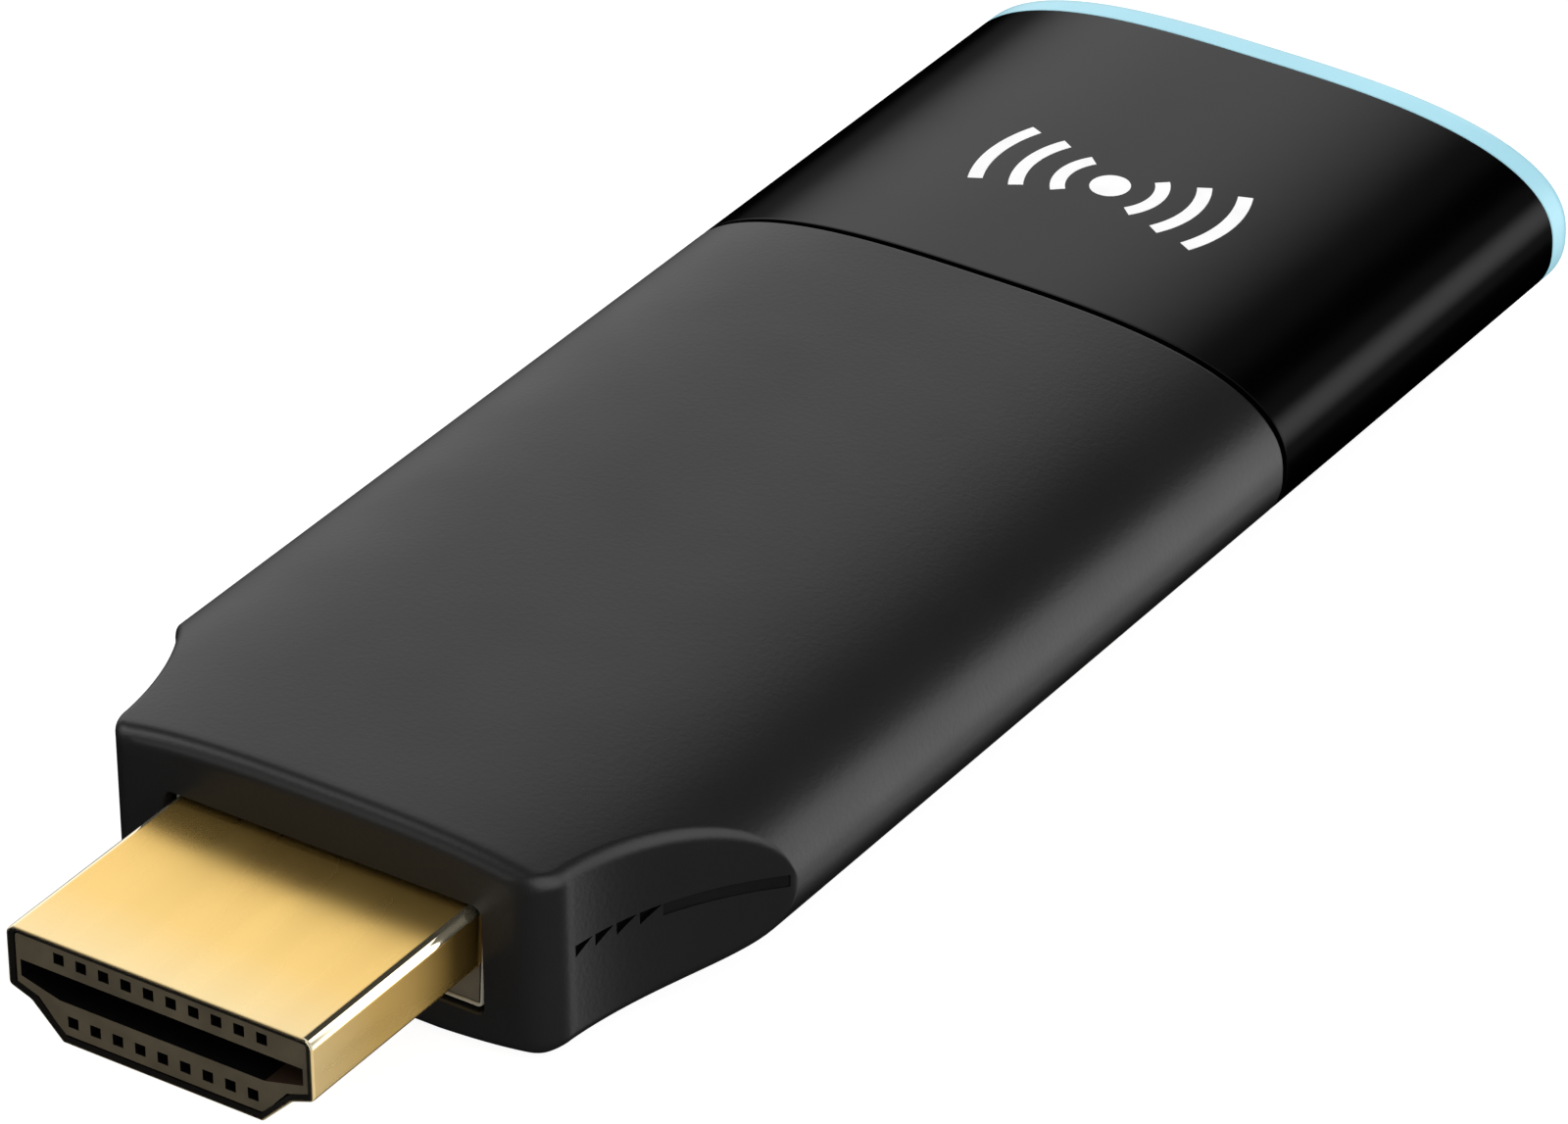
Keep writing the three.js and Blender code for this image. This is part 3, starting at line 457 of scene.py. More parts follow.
def make_material(
    name,
    color,
    roughness,
    metallic=0.0,
    specular=0.5,
    mottle=(120.0, 0.12),
    grain=(5000.0, 0.010),
    rough_spread=0.05,
    stretch=(1.0, 1.0, 1.0),
    coat=0.0,
    transmission=0.0,
    painted_light=(),
):
    """One moulded, plated or printed finish. mottle is (scale per metre, share of the
    colour it varies), grain is (scale per metre, height in mm). The last argument, if given,
    is (y in mm, share of the colour) pairs that the colour follows along Y: painted light and shade."""
    material = bpy.data.materials.new(name)
    material.use_nodes = True
    nodes = Nodes(material.node_tree)
    shader = material.node_tree.nodes["Principled BSDF"]
    shader.inputs["Metallic"].default_value = metallic
    shader.inputs["Specular IOR Level"].default_value = specular
    shader.inputs["Coat Weight"].default_value = coat
    shader.inputs["Coat Roughness"].default_value = 0.08
    shader.inputs["Transmission Weight"].default_value = transmission

    clouds = nodes.noise(mottle[0], detail=3.0, stretch=stretch)
    mix = nodes.add("ShaderNodeMix", data_type="RGBA")
    dark = [c * (1.0 - mottle[1]) for c in color] + [1.0]
    light = [min(c * (1.0 + mottle[1]), 1.0) for c in color] + [1.0]
    mix.inputs["A"].default_value = dark
    mix.inputs["B"].default_value = light
    nodes.link(nodes.spread(clouds, 0.0, 1.0), mix.inputs["Factor"])
    base = mix.outputs["Result"]
    if painted_light:
        base = paint_light_along_y(nodes, base, painted_light)
    nodes.link(base, shader.inputs["Base Color"])

    patches = nodes.noise(mottle[0] * 2.3, detail=2.0, stretch=stretch)
    rough = nodes.spread(patches, roughness - rough_spread, roughness + rough_spread)
    nodes.link(rough, shader.inputs["Roughness"])

    fine = nodes.noise(grain[0], detail=2.0, roughness=0.6, stretch=stretch)
    bump = nodes.add("ShaderNodeBump")
    bump.inputs["Strength"].default_value = 1.0
    bump.inputs["Distance"].default_value = grain[1] * MM
    nodes.link(fine, bump.inputs["Height"])
    nodes.link(bump.outputs["Normal"], shader.inputs["Normal"])
    return material


MATTE = make_material(
    "matte_casing", (0.0100, 0.0098, 0.0098), 0.36, specular=0.39,
    mottle=(90.0, 0.08), grain=(4200.0, 0.008), rough_spread=0.02,
)
# A near-black, almost unreflective casing finish for the cut arrow recesses: painted shade.
MARK_PAINTED_SHADE = make_material(
    "matte_casing_marks_painted_shade", (0.001, 0.001, 0.001), 0.65, specular=0.05,
    mottle=(300.0, 0.2), grain=(6000.0, 0.008),
)
# A darker copy of the casing finish for the groove: painted shade.
GROOVE_PAINTED_SHADE = make_material(
    "matte_casing_groove_painted_shade", (0.0045, 0.0045, 0.0045), 0.42, specular=0.26,
    mottle=(300.0, 0.15), grain=(5000.0, 0.010), rough_spread=0.02,
)
GLOSS = make_material(
    "gloss_cap", (0.0006, 0.0006, 0.0007), 0.15, specular=0.5,
    mottle=(60.0, 0.15), grain=(900.0, 0.0015), rough_spread=0.02,
)
BLUE = make_material(
    "blue_plate", (0.40, 0.74, 0.86), 0.32, specular=0.4,
    mottle=(150.0, 0.04), grain=(2600.0, 0.003),
)


def gold_with_painted_light(name, painted_light):
    return make_material(
        name, (1.0, 0.80, 0.42), 0.28, metallic=0.96,
        mottle=(200.0, 0.04), grain=(700.0, 0.00005), rough_spread=0.03,
        stretch=(1.0, 0.12, 1.0), painted_light=painted_light,
    )


# The gold is painted pale at the plug's mouth, a painted highlight, and darker towards the casing,
# painted shade and a painted reflection of the casing. The sides get a darker copy: more painted shade.
GOLD_PAINTED_LIGHT = gold_with_painted_light("gold_plate", (
    (-10.0, (1.0, 0.96, 0.94)), (-6.5, (1.0, 0.84, 0.55)), (0.0, (0.92, 0.74, 0.38)),
))
GOLD_SIDE_PAINTED_SHADE = gold_with_painted_light("gold_plate_side_painted_shade", (
    (-10.0, (1.0, 0.90, 0.78)), (-6.0, (0.78, 0.62, 0.34)), (0.0, (0.50, 0.37, 0.16)),
))
# A paler, smoother gold for the plug's two upper corners: a painted highlight.
GOLD_CORNER_HIGHLIGHT = make_material(
    "gold_plate_corner_painted_highlight", (1.0, 0.88, 0.62), 0.06, metallic=0.95,
    mottle=(200.0, 0.04), grain=(1600.0, 0.0001), rough_spread=0.02,
    stretch=(1.0, 0.12, 1.0),
)
# A near-black finish for the rim of the plug's mouth: painted shade.
MOUTH_PAINTED_SHADE = make_material(
    "plug_mouth_painted_shade", (0.004, 0.003, 0.002), 0.5, specular=0.15,
    mottle=(900.0, 0.3), grain=(6000.0, 0.004),
)
MOULDING = {"mottle": (700.0, 0.16), "grain": (5000.0, 0.008)}
INSULATOR = make_material(
    "plug_insulator", (0.062, 0.048, 0.026), 0.5, specular=0.35,
    **MOULDING,
)
# A near-black copy of the insulator for its slot and contact windows: painted shade.
INSULATOR_PAINTED_SHADE = make_material(
    "plug_insulator_painted_shade", (0.0015, 0.0012, 0.0010), 0.6, specular=0.1,
    **MOULDING,
)
# A brown copy of the insulator for one sloping foot of the slot: painted light.
INSULATOR_PAINTED_LIGHT = make_material(
    "plug_insulator_painted_light", (0.030, 0.014, 0.006), 0.55, specular=0.2,
    **MOULDING,
)
# A darkened gold for the contacts deep in the insulator's windows: painted shade.
CONTACT_PAINTED_SHADE = make_material(
    "plug_contact_painted_shade", (0.05, 0.035, 0.012), 0.35, metallic=1.0,
    mottle=(700.0, 0.1), grain=(3000.0, 0.003),
)
# The collar's steel, dark olive: partly its own colour, partly painted shade, as it sits deep in the
# plug's opening. Its rim gets a lighter copy of it, a painted highlight.
COLLAR = make_material(
    "collar_steel", (0.115, 0.098, 0.068), 0.45, metallic=0.3,
    mottle=(900.0, 0.12), grain=(7000.0, 0.004),
)
COLLAR_RIM_HIGHLIGHT = make_material(
    "collar_steel_rim_painted_highlight", (0.42, 0.40, 0.33), 0.40, metallic=0.3,
    mottle=(900.0, 0.08), grain=(7000.0, 0.003),
)
BOARD = make_material(
    "board_laminate", (0.010, 0.055, 0.026), 0.38, coat=0.3,
    mottle=(500.0, 0.25), grain=(3500.0, 0.012),
)
CHIP = make_material(
    "chip_epoxy", (0.014, 0.014, 0.015), 0.55,
    mottle=(1200.0, 0.2), grain=(8000.0, 0.006),
)
HEAT_PAD = make_material(
    "heat_pad", (0.27, 0.36, 0.44), 0.75,
    mottle=(800.0, 0.15), grain=(4000.0, 0.02),
)
ALUMINIUM = make_material(
    "spreader_aluminium", (0.72, 0.73, 0.74), 0.36, metallic=1.0,
    mottle=(400.0, 0.06), grain=(3000.0, 0.004), stretch=(1.0, 0.08, 1.0),
)
TIN = make_material(
    "tinned_steel", (0.62, 0.61, 0.58), 0.30, metallic=1.0,
    mottle=(500.0, 0.10), grain=(3000.0, 0.003),
)
CERAMIC = make_material(
    "chip_ceramic", (0.42, 0.31, 0.17), 0.55,
    mottle=(1500.0, 0.2), grain=(8000.0, 0.006),
)
BUTTON = make_material(
    "button_plastic", (0.010, 0.010, 0.011), 0.34,
    mottle=(400.0, 0.12), grain=(4500.0, 0.005),
)
LENS = make_material(
    "clear_lens", (0.78, 0.84, 0.87), 0.16, specular=0.6,
    mottle=(600.0, 0.05), grain=(2500.0, 0.002), transmission=0.35,
)
PRINT = make_material(
    "print_white", (0.93, 0.93, 0.93), 0.42,
    mottle=(900.0, 0.03), grain=(7000.0, 0.004),
)

SLOT_MATERIALS = {
    "matte_casing": MATTE,
    "gloss_cap": GLOSS,
    "blue_plate": BLUE,
    "gold_plate": GOLD_PAINTED_LIGHT,
    "plug_insulator": INSULATOR,
    "collar_steel": COLLAR,
    "board_laminate": BOARD,
    "chip_epoxy": CHIP,
    "heat_pad": HEAT_PAD,
    "spreader_aluminium": ALUMINIUM,
    "tinned_steel": TIN,
    "chip_ceramic": CERAMIC,
    "button_plastic": BUTTON,
    "clear_lens": LENS,
}


def stand_for(piece, body, slot, *nodes):
    """Puts a piece on its body, in the place of the CAD nodes named. The slot argument is not used."""
    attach(piece, body)
    if nodes:
        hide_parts(*nodes)


# ---------------------------------------------------------------- front housing


def outer_stations():
    """Where along Y the housing's outer skin gets a ring: close together on its curves."""
    least_gap = 0.012
    scoop_pitch = 0.22
    shoulder_start, shoulder_pitch = 9.6, 0.05
    edge = [EDGE_RADIUS * (1 - math.cos(math.pi / 2 * i / 10)) for i in range(11)]
    corner = [CORNER_RADIUS * (1 - math.cos(math.pi / 2 * i / 14)) for i in range(15)]
    scoop = [CORNER_RADIUS + scoop_pitch * i for i in range(1, 37)]
    shoulder = [shoulder_start + shoulder_pitch * i for i in range(17)]
    rest = [12.0, 20.0, 30.0, 40.0, 44.0]
    stations = sorted(set(round(y, 4) for y in edge + corner + scoop + shoulder + rest))
    kept = [stations[0]]
    for y in stations[1:]:
        if y - kept[-1] > least_gap:
            kept.append(y)
    return kept


def edge_inset(y, radius):
    """How far a rounded front edge lies inside the outline at y."""
    if y >= radius:
        return 0.0
    return radius - math.sqrt(max(radius**2 - (radius - y) ** 2, 0.0))


def scoop_mark_cutter(side, outline_y, bottom_z_of, top_z, depth, material):
    """A cutter along the scoop's wall: bottom_z_of(y) to top_z, from outside the wall to
    a constant depth below it."""
    reach = 0.6
    bm = bmesh.new()
    columns = []
    for y in outline_y:
        wall = scoop_x(y)
        inner, outer = side * (wall - depth), side * (wall + reach)
        low = bottom_z_of(y)
        columns.append([
            bm.verts.new(at(inner, y, low)),
            bm.verts.new(at(outer, y, low)),
            bm.verts.new(at(outer, y, top_z)),
            bm.verts.new(at(inner, y, top_z)),
        ])
    for first, second in zip(columns, columns[1:]):
        for i in range(4):
            j = (i + 1) % 4
            bm.faces.new((first[i], first[j], second[j], second[i]))
    bm.faces.new(columns[0])
    bm.faces.new(columns[-1])
    return finish_mesh("mark_cutter", bm, [material], weighted=False)


def scoop_cutters():
    """Four arrow marks and a shallow groove in each scoop, their cut faces darkened: painted shade."""
    cutters = []
    groove_y = [GROOVE_START + GROOVE_STEP * i for i in range(GROOVE_POINTS)]
    for side in (-1, 1):
        for i in range(ARROW_COUNT):
            start = ARROW_START + i * ARROW_PITCH
            ys = [start, start + ARROW_LENGTH / 2, start + ARROW_LENGTH * ARROW_TIP_CUT]

            def arrow_bottom(y, start=start):
                return MARK_TOP - MARK_HEIGHT * (1 - (y - start) / ARROW_LENGTH)

            cutters.append(
                scoop_mark_cutter(side, ys, arrow_bottom, MARK_TOP, ARROW_DEPTH, MARK_PAINTED_SHADE)
            )
        cutters.append(scoop_mark_cutter(
            side, groove_y, lambda y: MARK_TOP - MARK_HEIGHT, MARK_TOP, GROOVE_DEPTH, GROOVE_PAINTED_SHADE
        ))
    return cutters


def build_housing():
    """One tube: in through the plug's opening, round the outer skin, the seam's rounded
    edge and the spigot, and back along the inside."""
    loop_steps = QUARTER_STEPS + WALL_STEPS
    opening = rectangle_loop(
        OPENING_HALF_WIDTH, OPENING_HALF_HEIGHT, OPENING_RADIUS, loop_steps
    )
    lip = rectangle_loop(
        OPENING_HALF_WIDTH + OPENING_FLARE, OPENING_HALF_HEIGHT + OPENING_FLARE,
        OPENING_RADIUS + 0.05, loop_steps,
    )
    rings = [
        place_ring(opening, FRONT_WALL, PLUG_Z),
        place_ring(opening, OPENING_FLARE_DEPTH, PLUG_Z),
        place_ring(lip, 0.0, PLUG_Z),
    ]
    for y in outer_stations():
        inset = edge_inset(y, EDGE_RADIUS)
        outline = section(inset, scoop_x(y), rest_inset=inset)
        rings.append(place_ring(outline, y))
    rings.append(place_ring(section(), SEAM_START - SEAM_RADIUS - 0.06))
    for i in range(7):
        angle = math.pi / 2 * i / 6
        y = SEAM_START - SEAM_RADIUS * (1 - math.sin(angle))
        rings.append(place_ring(section(SEAM_RADIUS * (1 - math.cos(angle))), y))
    bore = SPIGOT_INSET + SPIGOT_WALL
    spigot_end = SEAM_START + SPIGOT_LENGTH
    for inset, y in (
        (SPIGOT_INSET, SEAM_START),
        (SPIGOT_INSET, spigot_end - SPIGOT_CHAMFER),
        (SPIGOT_INSET + SPIGOT_CHAMFER, spigot_end),
        (bore, spigot_end),
        (bore, SEAM_START - SPIGOT_ROOT),
        (WALL, SEAM_START - SPIGOT_ROOT),
    ):
        rings.append(place_ring(section(inset), y))
    for y in [14.0, 12.6, 11.6, 10.8] + [float(y) for y in range(10, 1, -1)] + [FRONT_WALL]:
        rings.append(place_ring(section(WALL, scoop_x(y, WALL), SCOOP_INNER_RADIUS), y))
    piece = finish_mesh("housing_shell", ring_bmesh(rings, closed=True), [MATTE])
    cut(piece, scoop_cutters())
    stand_for(piece, "casing", "matte_casing", "front_housing")


# ---------------------------------------------------------------- rear cap and end plate


def quarter_round(radius, steps=4):
    """(inset, distance from the end) of a rounded edge, from the end's face outwards."""
    angles = [math.pi / 2 * i / steps for i in range(steps + 1)]
    return [(radius * (1 - math.sin(a)), radius * (1 - math.cos(a))) for a in angles]


def build_cap():
    lip = 0.05
    rings = [place_ring(section(WALL), SEAM_END)]
    rings += [place_ring(section(inset), SEAM_END + y) for inset, y in quarter_round(lip)]
    for y in (SEAM_END + lip + 0.03, SEAM_END + 1, 50, 55, 60, 65, CAP_END - lip - 0.03):
        rings.append(place_ring(section(0.0), y))
    rings += [place_ring(section(inset), CAP_END - y) for inset, y in quarter_round(lip)[::-1]]
    rings.append(place_ring(section(WALL), CAP_END))
    piece = finish_mesh("cap_shell", ring_bmesh(rings, closed=True), [GLOSS])
    stand_for(piece, "casing", "gloss_cap", "rear_cap")


def build_plate():
    """The blue plate: a plug that fits into the cap, a rounded rim and a flat outer face."""
    start = CAP_END + PLATE_GAP
    foot = start - PLATE_PLUG_DEPTH
    outer = SPIGOT_INSET
    inner = outer + PLATE_PLUG_WALL
    chamfer = 0.04
    rings = [
        place_ring(section(inner), foot),
        place_ring(section(outer), foot),
        place_ring(section(outer), start),
        place_ring(section(chamfer), start),
        place_ring(section(0.0), start + chamfer),
    ]
    for i in range(9):
        angle = math.pi / 2 * i / 8
        y = CASE_END - PLATE_EDGE_DEPTH + PLATE_EDGE_DEPTH * math.sin(angle)
        rings.append(place_ring(section(PLATE_EDGE_INSET * (1 - math.cos(angle))), y))
    rings.append(place_ring(section(PLATE_EDGE_INSET + 0.25), CASE_END))
    face = ring_bmesh(rings, closed=False)
    piece = finish_mesh("end_plate_shell", face, [BLUE])
    inside = finish_mesh(
        "plate_hollow",
        ring_bmesh([
            place_ring(section(inner - 0.01), foot - 0.8),
            place_ring(section(inner - 0.01), CAP_END),
        ], closed=False),
        [BLUE],
        weighted=False,
    )
    cut(piece, [inside] + plate_hole_cutters())
    stand_for(piece, "casing", "blue_plate", "end_plate")


def port_vertices():
    """The power port's outline: full width above, its lower corners cut away."""
    half_width = port_high.x / MM
    half_height = (port_high.z - port_low.z) / 2 / MM
    return mirror_vertices([
        (PORT_FOOT_HALF_WIDTH, -half_height, 0.35),
        (half_width, PORT_SHOULDER_Z, 0.35),
        (half_width, half_height, 0.3),
    ])


def prism_cutter(outline, y_start, y_end, flare=0.12):
    """A straight cutter that widens by flare just before the end plate's outer face.
    outline(offset) is its section, moved inwards by the offset."""
    mouth = CASE_END
    rings = [
        place_ring(outline(0.0), y_start),
        place_ring(outline(0.0), mouth - flare),
        place_ring(outline(-flare * 0.35), mouth - flare * 0.35),
        place_ring(outline(-flare), mouth),
        place_ring(outline(-flare), y_end),
    ]
    return finish_mesh("hole_cutter", ring_bmesh(rings, closed=False), [BLUE], weighted=False)


def shifted(outline, x, z):
    return [(px + x, pz + z) for px, pz in outline]


def middle_place(low, high):
    """The (x, z) of a box's middle, in mm."""
    middle = (low + high) / 2
    return middle.x / MM, (middle.z - ORIGIN.z) / MM


def stadium(half_length, half_height, offset=0.0):
    """A slot's outline with round ends, moved inwards by offset."""
    return rounded_rectangle(half_length, half_height, half_height, offset)


def plate_hole_cutters():
    """The end plate's openings for the power port, the button and the light guide."""
    clearance = 0.12
    guide_clearance = 0.06
    start, end = CAP_END - 1.0, CASE_END + 1.0

    def port_hole(offset):
        return rounded_outline(port_vertices(), offset - clearance)

    def button_hole(offset):
        return shifted(stadium(*BUTTON_HALF, offset - clearance), *middle_place(button_low, button_high))

    def guide_hole(offset):
        outline = stadium(GUIDE_RADIUS, GUIDE_RADIUS, offset - guide_clearance)
        return shifted(outline, *middle_place(guide_low, guide_high))

    return [
        prism_cutter(port_hole, start, end),
        prism_cutter(button_hole, start, end),
        prism_cutter(guide_hole, start, end, flare=0.05),
    ]


def build_button():
    x, z = middle_place(button_low, button_high)
    face = (button_high.y - ORIGIN.y) / MM
    foot = (button_low.y - ORIGIN.y) / MM
    edge = 0.18
    dish_depth = 0.05
    flange_start, flange_end = foot + 0.1, foot + 0.6
    stem = shifted(stadium(*BUTTON_HALF), x, z)
    flange = shifted(stadium(*(half + BUTTON_FLANGE for half in BUTTON_HALF)), x, z)
    rings = [
        place_ring(stem, foot),
        place_ring(stem, flange_start),
        place_ring(flange, flange_start),
        place_ring(flange, flange_end),
        place_ring(stem, flange_end),
    ]
    for i in range(6):
        angle = math.pi / 2 * i / 5
        outline = stadium(*BUTTON_HALF, edge * (1 - math.cos(angle)))
        rings.append(place_ring(shifted(outline, x, z), face - edge * (1 - math.sin(angle))))
    dish = stadium(*BUTTON_HALF, 0.4)
    rings.append(place_ring(shifted(dish, x, z), face - dish_depth))
    piece = finish_mesh("reset_button_cap", ring_bmesh(rings, closed=False), [BUTTON])
    stand_for(piece, "reset_button", "button_plastic", "reset_button")


def build_light_guide():
    x, z = middle_place(guide_low, guide_high)
    face = (guide_high.y - ORIGIN.y) / MM
    foot = (guide_low.y - ORIGIN.y) / MM
    dome_inset, dome_height = 0.45, 0.16
    rings = [place_ring(shifted(stadium(GUIDE_RADIUS, GUIDE_RADIUS), x, z), foot)]
    for i in range(6):
        angle = math.pi / 2 * i / 5
        outline = stadium(GUIDE_RADIUS, GUIDE_RADIUS, dome_inset * (1 - math.cos(angle)))
        y = face - dome_height * (1 - math.sin(angle))
        rings.append(place_ring(shifted(outline, x, z), y))
    piece = finish_mesh("light_guide_lens", ring_bmesh(rings, closed=False), [LENS])
    stand_for(piece, "casing", "clear_lens", "light_guide")


def build_port_shell():
    start = (port_low.y - ORIGIN.y) / MM
    mouth = (port_high.y - ORIGIN.y) / MM
    corners = port_vertices()
    profile = [
        (0.0, start), (0.0, mouth - 0.08), (0.03, mouth - 0.02), (0.09, mouth),
        (PORT_WALL * 0.6, mouth), (PORT_WALL, mouth - 0.15), (PORT_WALL, start),
    ]
    rings = [place_ring(rounded_outline(corners, inset), y) for inset, y in profile]
    piece = finish_mesh("power_port_sleeve", ring_bmesh(rings, closed=True), [TIN])
    stand_for(piece, "casing", "tinned_steel", "power_port_shell")


# ---------------------------------------------------------------- video plug


def plug_vertices():
    """The standard plug's outline: full width above, stepped in below."""
    return mirror_vertices([
        (PLUG_FOOT_HALF_WIDTH, -PLUG_HALF_HEIGHT, 0.18),
        (PLUG_WAIST_HALF_WIDTH, PLUG_WAIST_Z, 0.5),
        (PLUG_HALF_WIDTH, PLUG_SHOULDER_Z, 0.25),
        (PLUG_HALF_WIDTH, PLUG_HALF_HEIGHT, 0.45),
    ])


def build_plug_shell():
    """The gold tube: long outer skin, rolled mouth, inner skin. The rim of the mouth is near black,
    painted shade;
    its two upper corners get a paler, smoother gold, a painted highlight, and its sides a darker gold,
    painted shade."""
    plating, mouth_shade, corner, side = range(4)
    slope = 0.08
    upright = 0.9
    profile = [
        (0.0, PLUG_ROOT), (0.0, 0.0), (0.0, -4.0), (0.0, PLUG_TIP + 0.12),
        (0.012, PLUG_TIP + 0.05), (0.05, PLUG_TIP + 0.01), (0.1, PLUG_TIP),
        (0.14, PLUG_TIP + 0.02), (PLUG_WALL, PLUG_TIP + 0.10), (PLUG_WALL, PLUG_TIP + 0.5),
        (PLUG_WALL, PLUG_ROOT),
    ]
    corners = plug_vertices()
    rings = [place_ring(rounded_outline(corners, d, steps=10), y, PLUG_Z) for d, y in profile]
    # These bands are the rim of the plug's mouth, made near black: painted shade.
    mouth_shade_bands = range(6, 9)
    mesh = ring_bmesh(rings, True, lambda band: mouth_shade if band in mouth_shade_bands else plating)
    piece = finish_mesh("plug_shell_gold", mesh, [GOLD_PAINTED_LIGHT, MOUTH_PAINTED_SHADE, GOLD_CORNER_HIGHLIGHT, GOLD_SIDE_PAINTED_SHADE])
    for face in piece.data.polygons:
        if face.material_index != plating:
            continue
        # The upper corners take the paler gold, a painted highlight, and the sides the darker one,
        # painted shade.
        if face.normal.z > slope and abs(face.normal.x) > slope:
            face.material_index = corner
        elif abs(face.normal.x) > upright:
            face.material_index = side
    stand_for(piece, "casing", "gold_plate", "plug_shell")


def build_collar():
    """A rectangular frame round the plug's root with a rolled rim and a groove inside it."""
    low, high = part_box("plug_collar")
    half_width = high.x / MM
    half_height = (high.z - low.z) / 2 / MM
    face = (low.y - ORIGIN.y) / MM
    end = (high.y - ORIGIN.y) / MM
    radius = 0.3
    rim_inset, rim_height = 0.08, 0.09
    groove_depth, plate_depth, hole_depth = 0.16, 0.04, 0.4
    back_inset = 0.28
    profile = [(0.0, end), (0.0, face + rim_height)]
    for i in range(1, 6):
        angle = math.pi * i / 5
        y = face + rim_height - rim_height * math.sin(angle)
        profile.append((rim_inset * (1 - math.cos(angle)), y))
    profile += [
        (0.16, face + groove_depth), (0.22, face + groove_depth),
        (0.22, face + 0.05), (0.3, face + plate_depth),
    ]
    rings = []
    for inset, y in profile:
        corner = max(radius - inset, 0.05)
        outline = rounded_rectangle(half_width - inset, half_height - inset, corner)
        rings.append(place_ring(outline, y, PLUG_Z))
    steps = len(rings[0])
    hole = resample(rounded_outline(plug_vertices(), -0.05, steps=10), steps)
    rings.append(place_ring(hole, face + plate_depth, PLUG_Z))
    rings.append(place_ring(hole, face + hole_depth, PLUG_Z))
    back = rounded_rectangle(half_width - back_inset, half_height - back_inset, 0.05)
    rings.append(place_ring(back, face + hole_depth, PLUG_Z))
    rings.append(place_ring(back, end, PLUG_Z))
    upper_part, upper_set_back = PLUG_Z - 0.55, 0.35
    rings = [
        ring if ring[0][1] > face + 0.5 else set_back(ring, upper_part, upper_set_back)
        for ring in rings
    ]
    # The rim bands take the lighter steel: a painted highlight.
    mesh = ring_bmesh(rings, True, lambda band: 1 if 1 <= band <= 5 else 0)
    piece = finish_mesh("plug_collar_frame", mesh, [COLLAR, COLLAR_RIM_HIGHLIGHT])
    stand_for(piece, "casing", "collar_steel", "plug_collar")


def resample(outline, count):
    """The same closed outline with count points, aligned by polar angle to the collar's."""
    target = rounded_rectangle(PLUG_HALF_WIDTH, PLUG_HALF_HEIGHT, 0.3)
    result = []
    for x, z in target[:count]:
        direction = Vector((x, z)).normalized()
        result.append(ray_hit(outline, direction))
    return result


def ray_hit(outline, direction):
    """Where a ray from the middle leaves a closed outline."""
    parallel, slack = 1e-12, 1e-9
    best = None
    for (x1, z1), (x2, z2) in zip(outline, outline[1:] + outline[:1]):
        ex, ez = x2 - x1, z2 - z1
        determinant = direction.x * -ez + direction.y * ex
        if abs(determinant) < parallel:
            continue
        reach = (x1 * -ez + z1 * ex) / determinant
        share = (direction.x * z1 - direction.y * x1) / determinant
        if reach > 0 and -slack <= share <= 1 + slack and (best is None or reach > best):
            best = reach
    return (direction.x * best, direction.y * best)


# ---------------------------------------------------------------- printed mark


def crown_z(x):
    """The height of the casing's top at x, both in mm."""
    return HALF_HEIGHT * (1 - abs(x / HALF_WIDTH) ** SIDE_POWER) ** (1 / TOP_POWER)


def print_strip(bm, left, right):
    """A closed thin strip between two point lists in plan, laid on the crown."""
    grid = []
    for (x1, y1), (x2, y2) in zip(left, right):
        grid.append([(x1 + (x2 - x1) * k / 4, y1 + (y2 - y1) * k / 4) for k in range(5)])

    def layer(lift):
        return [[bm.verts.new(at(x, y, crown_z(x) + lift)) for x, y in row] for row in grid]

    top = layer(PRINT_LIFT + PRINT_THICKNESS)
    low = layer(PRINT_LIFT)
    rows, columns = len(grid), len(grid[0])
    for i in range(rows - 1):
        for k in range(columns - 1):
            bm.faces.new((top[i][k], top[i][k + 1], top[i + 1][k + 1], top[i + 1][k]))
            bm.faces.new((low[i][k], low[i + 1][k], low[i + 1][k + 1], low[i][k + 1]))
    border = [(i, 0) for i in range(rows)]
    border += [(rows - 1, k) for k in range(1, columns)]
    border += [(i, columns - 1) for i in range(rows - 2, -1, -1)]
    border += [(0, k) for k in range(columns - 2, 0, -1)]
    for (i, k), (m, n) in zip(border, border[1:] + border[:1]):
        bm.faces.new((top[i][k], top[m][n], low[m][n], low[i][k]))


def build_print():
    """A generic broadcast pictogram: a dot between pairs of arcs."""
    centre_x, centre_y = 0.6, 53.5
    stroke = 0.62
    dot = 0.85
    arcs = ((2.15, 40), (3.85, 31), (5.55, 25))
    bm = bmesh.new()
    left, right = [], []
    for i in range(1, 24):
        angle = math.pi * i / 24
        y = centre_y - dot * math.cos(angle)
        half = dot * math.sin(angle)
        left.append((centre_x - half, y))
        right.append((centre_x + half, y))
    print_strip(bm, left, right)
    for radius, half_angle in arcs:
        for side in (-1, 1):
            inner, outer = [], []
            for i in range(33):
                angle = math.radians(half_angle) * (i / 16 - 1)
                c, s = math.cos(angle), math.sin(angle)
                for line, r in ((inner, radius - stroke / 2), (outer, radius + stroke / 2)):
                    line.append((centre_x + side * r * c, centre_y + r * s))
            print_strip(bm, inner, outer)
    piece = finish_mesh("cap_print", bm, [PRINT], weighted=False)
    stand_for(piece, "casing", "gloss_cap")


# ---------------------------------------------------------------- carried-over CAD nodes


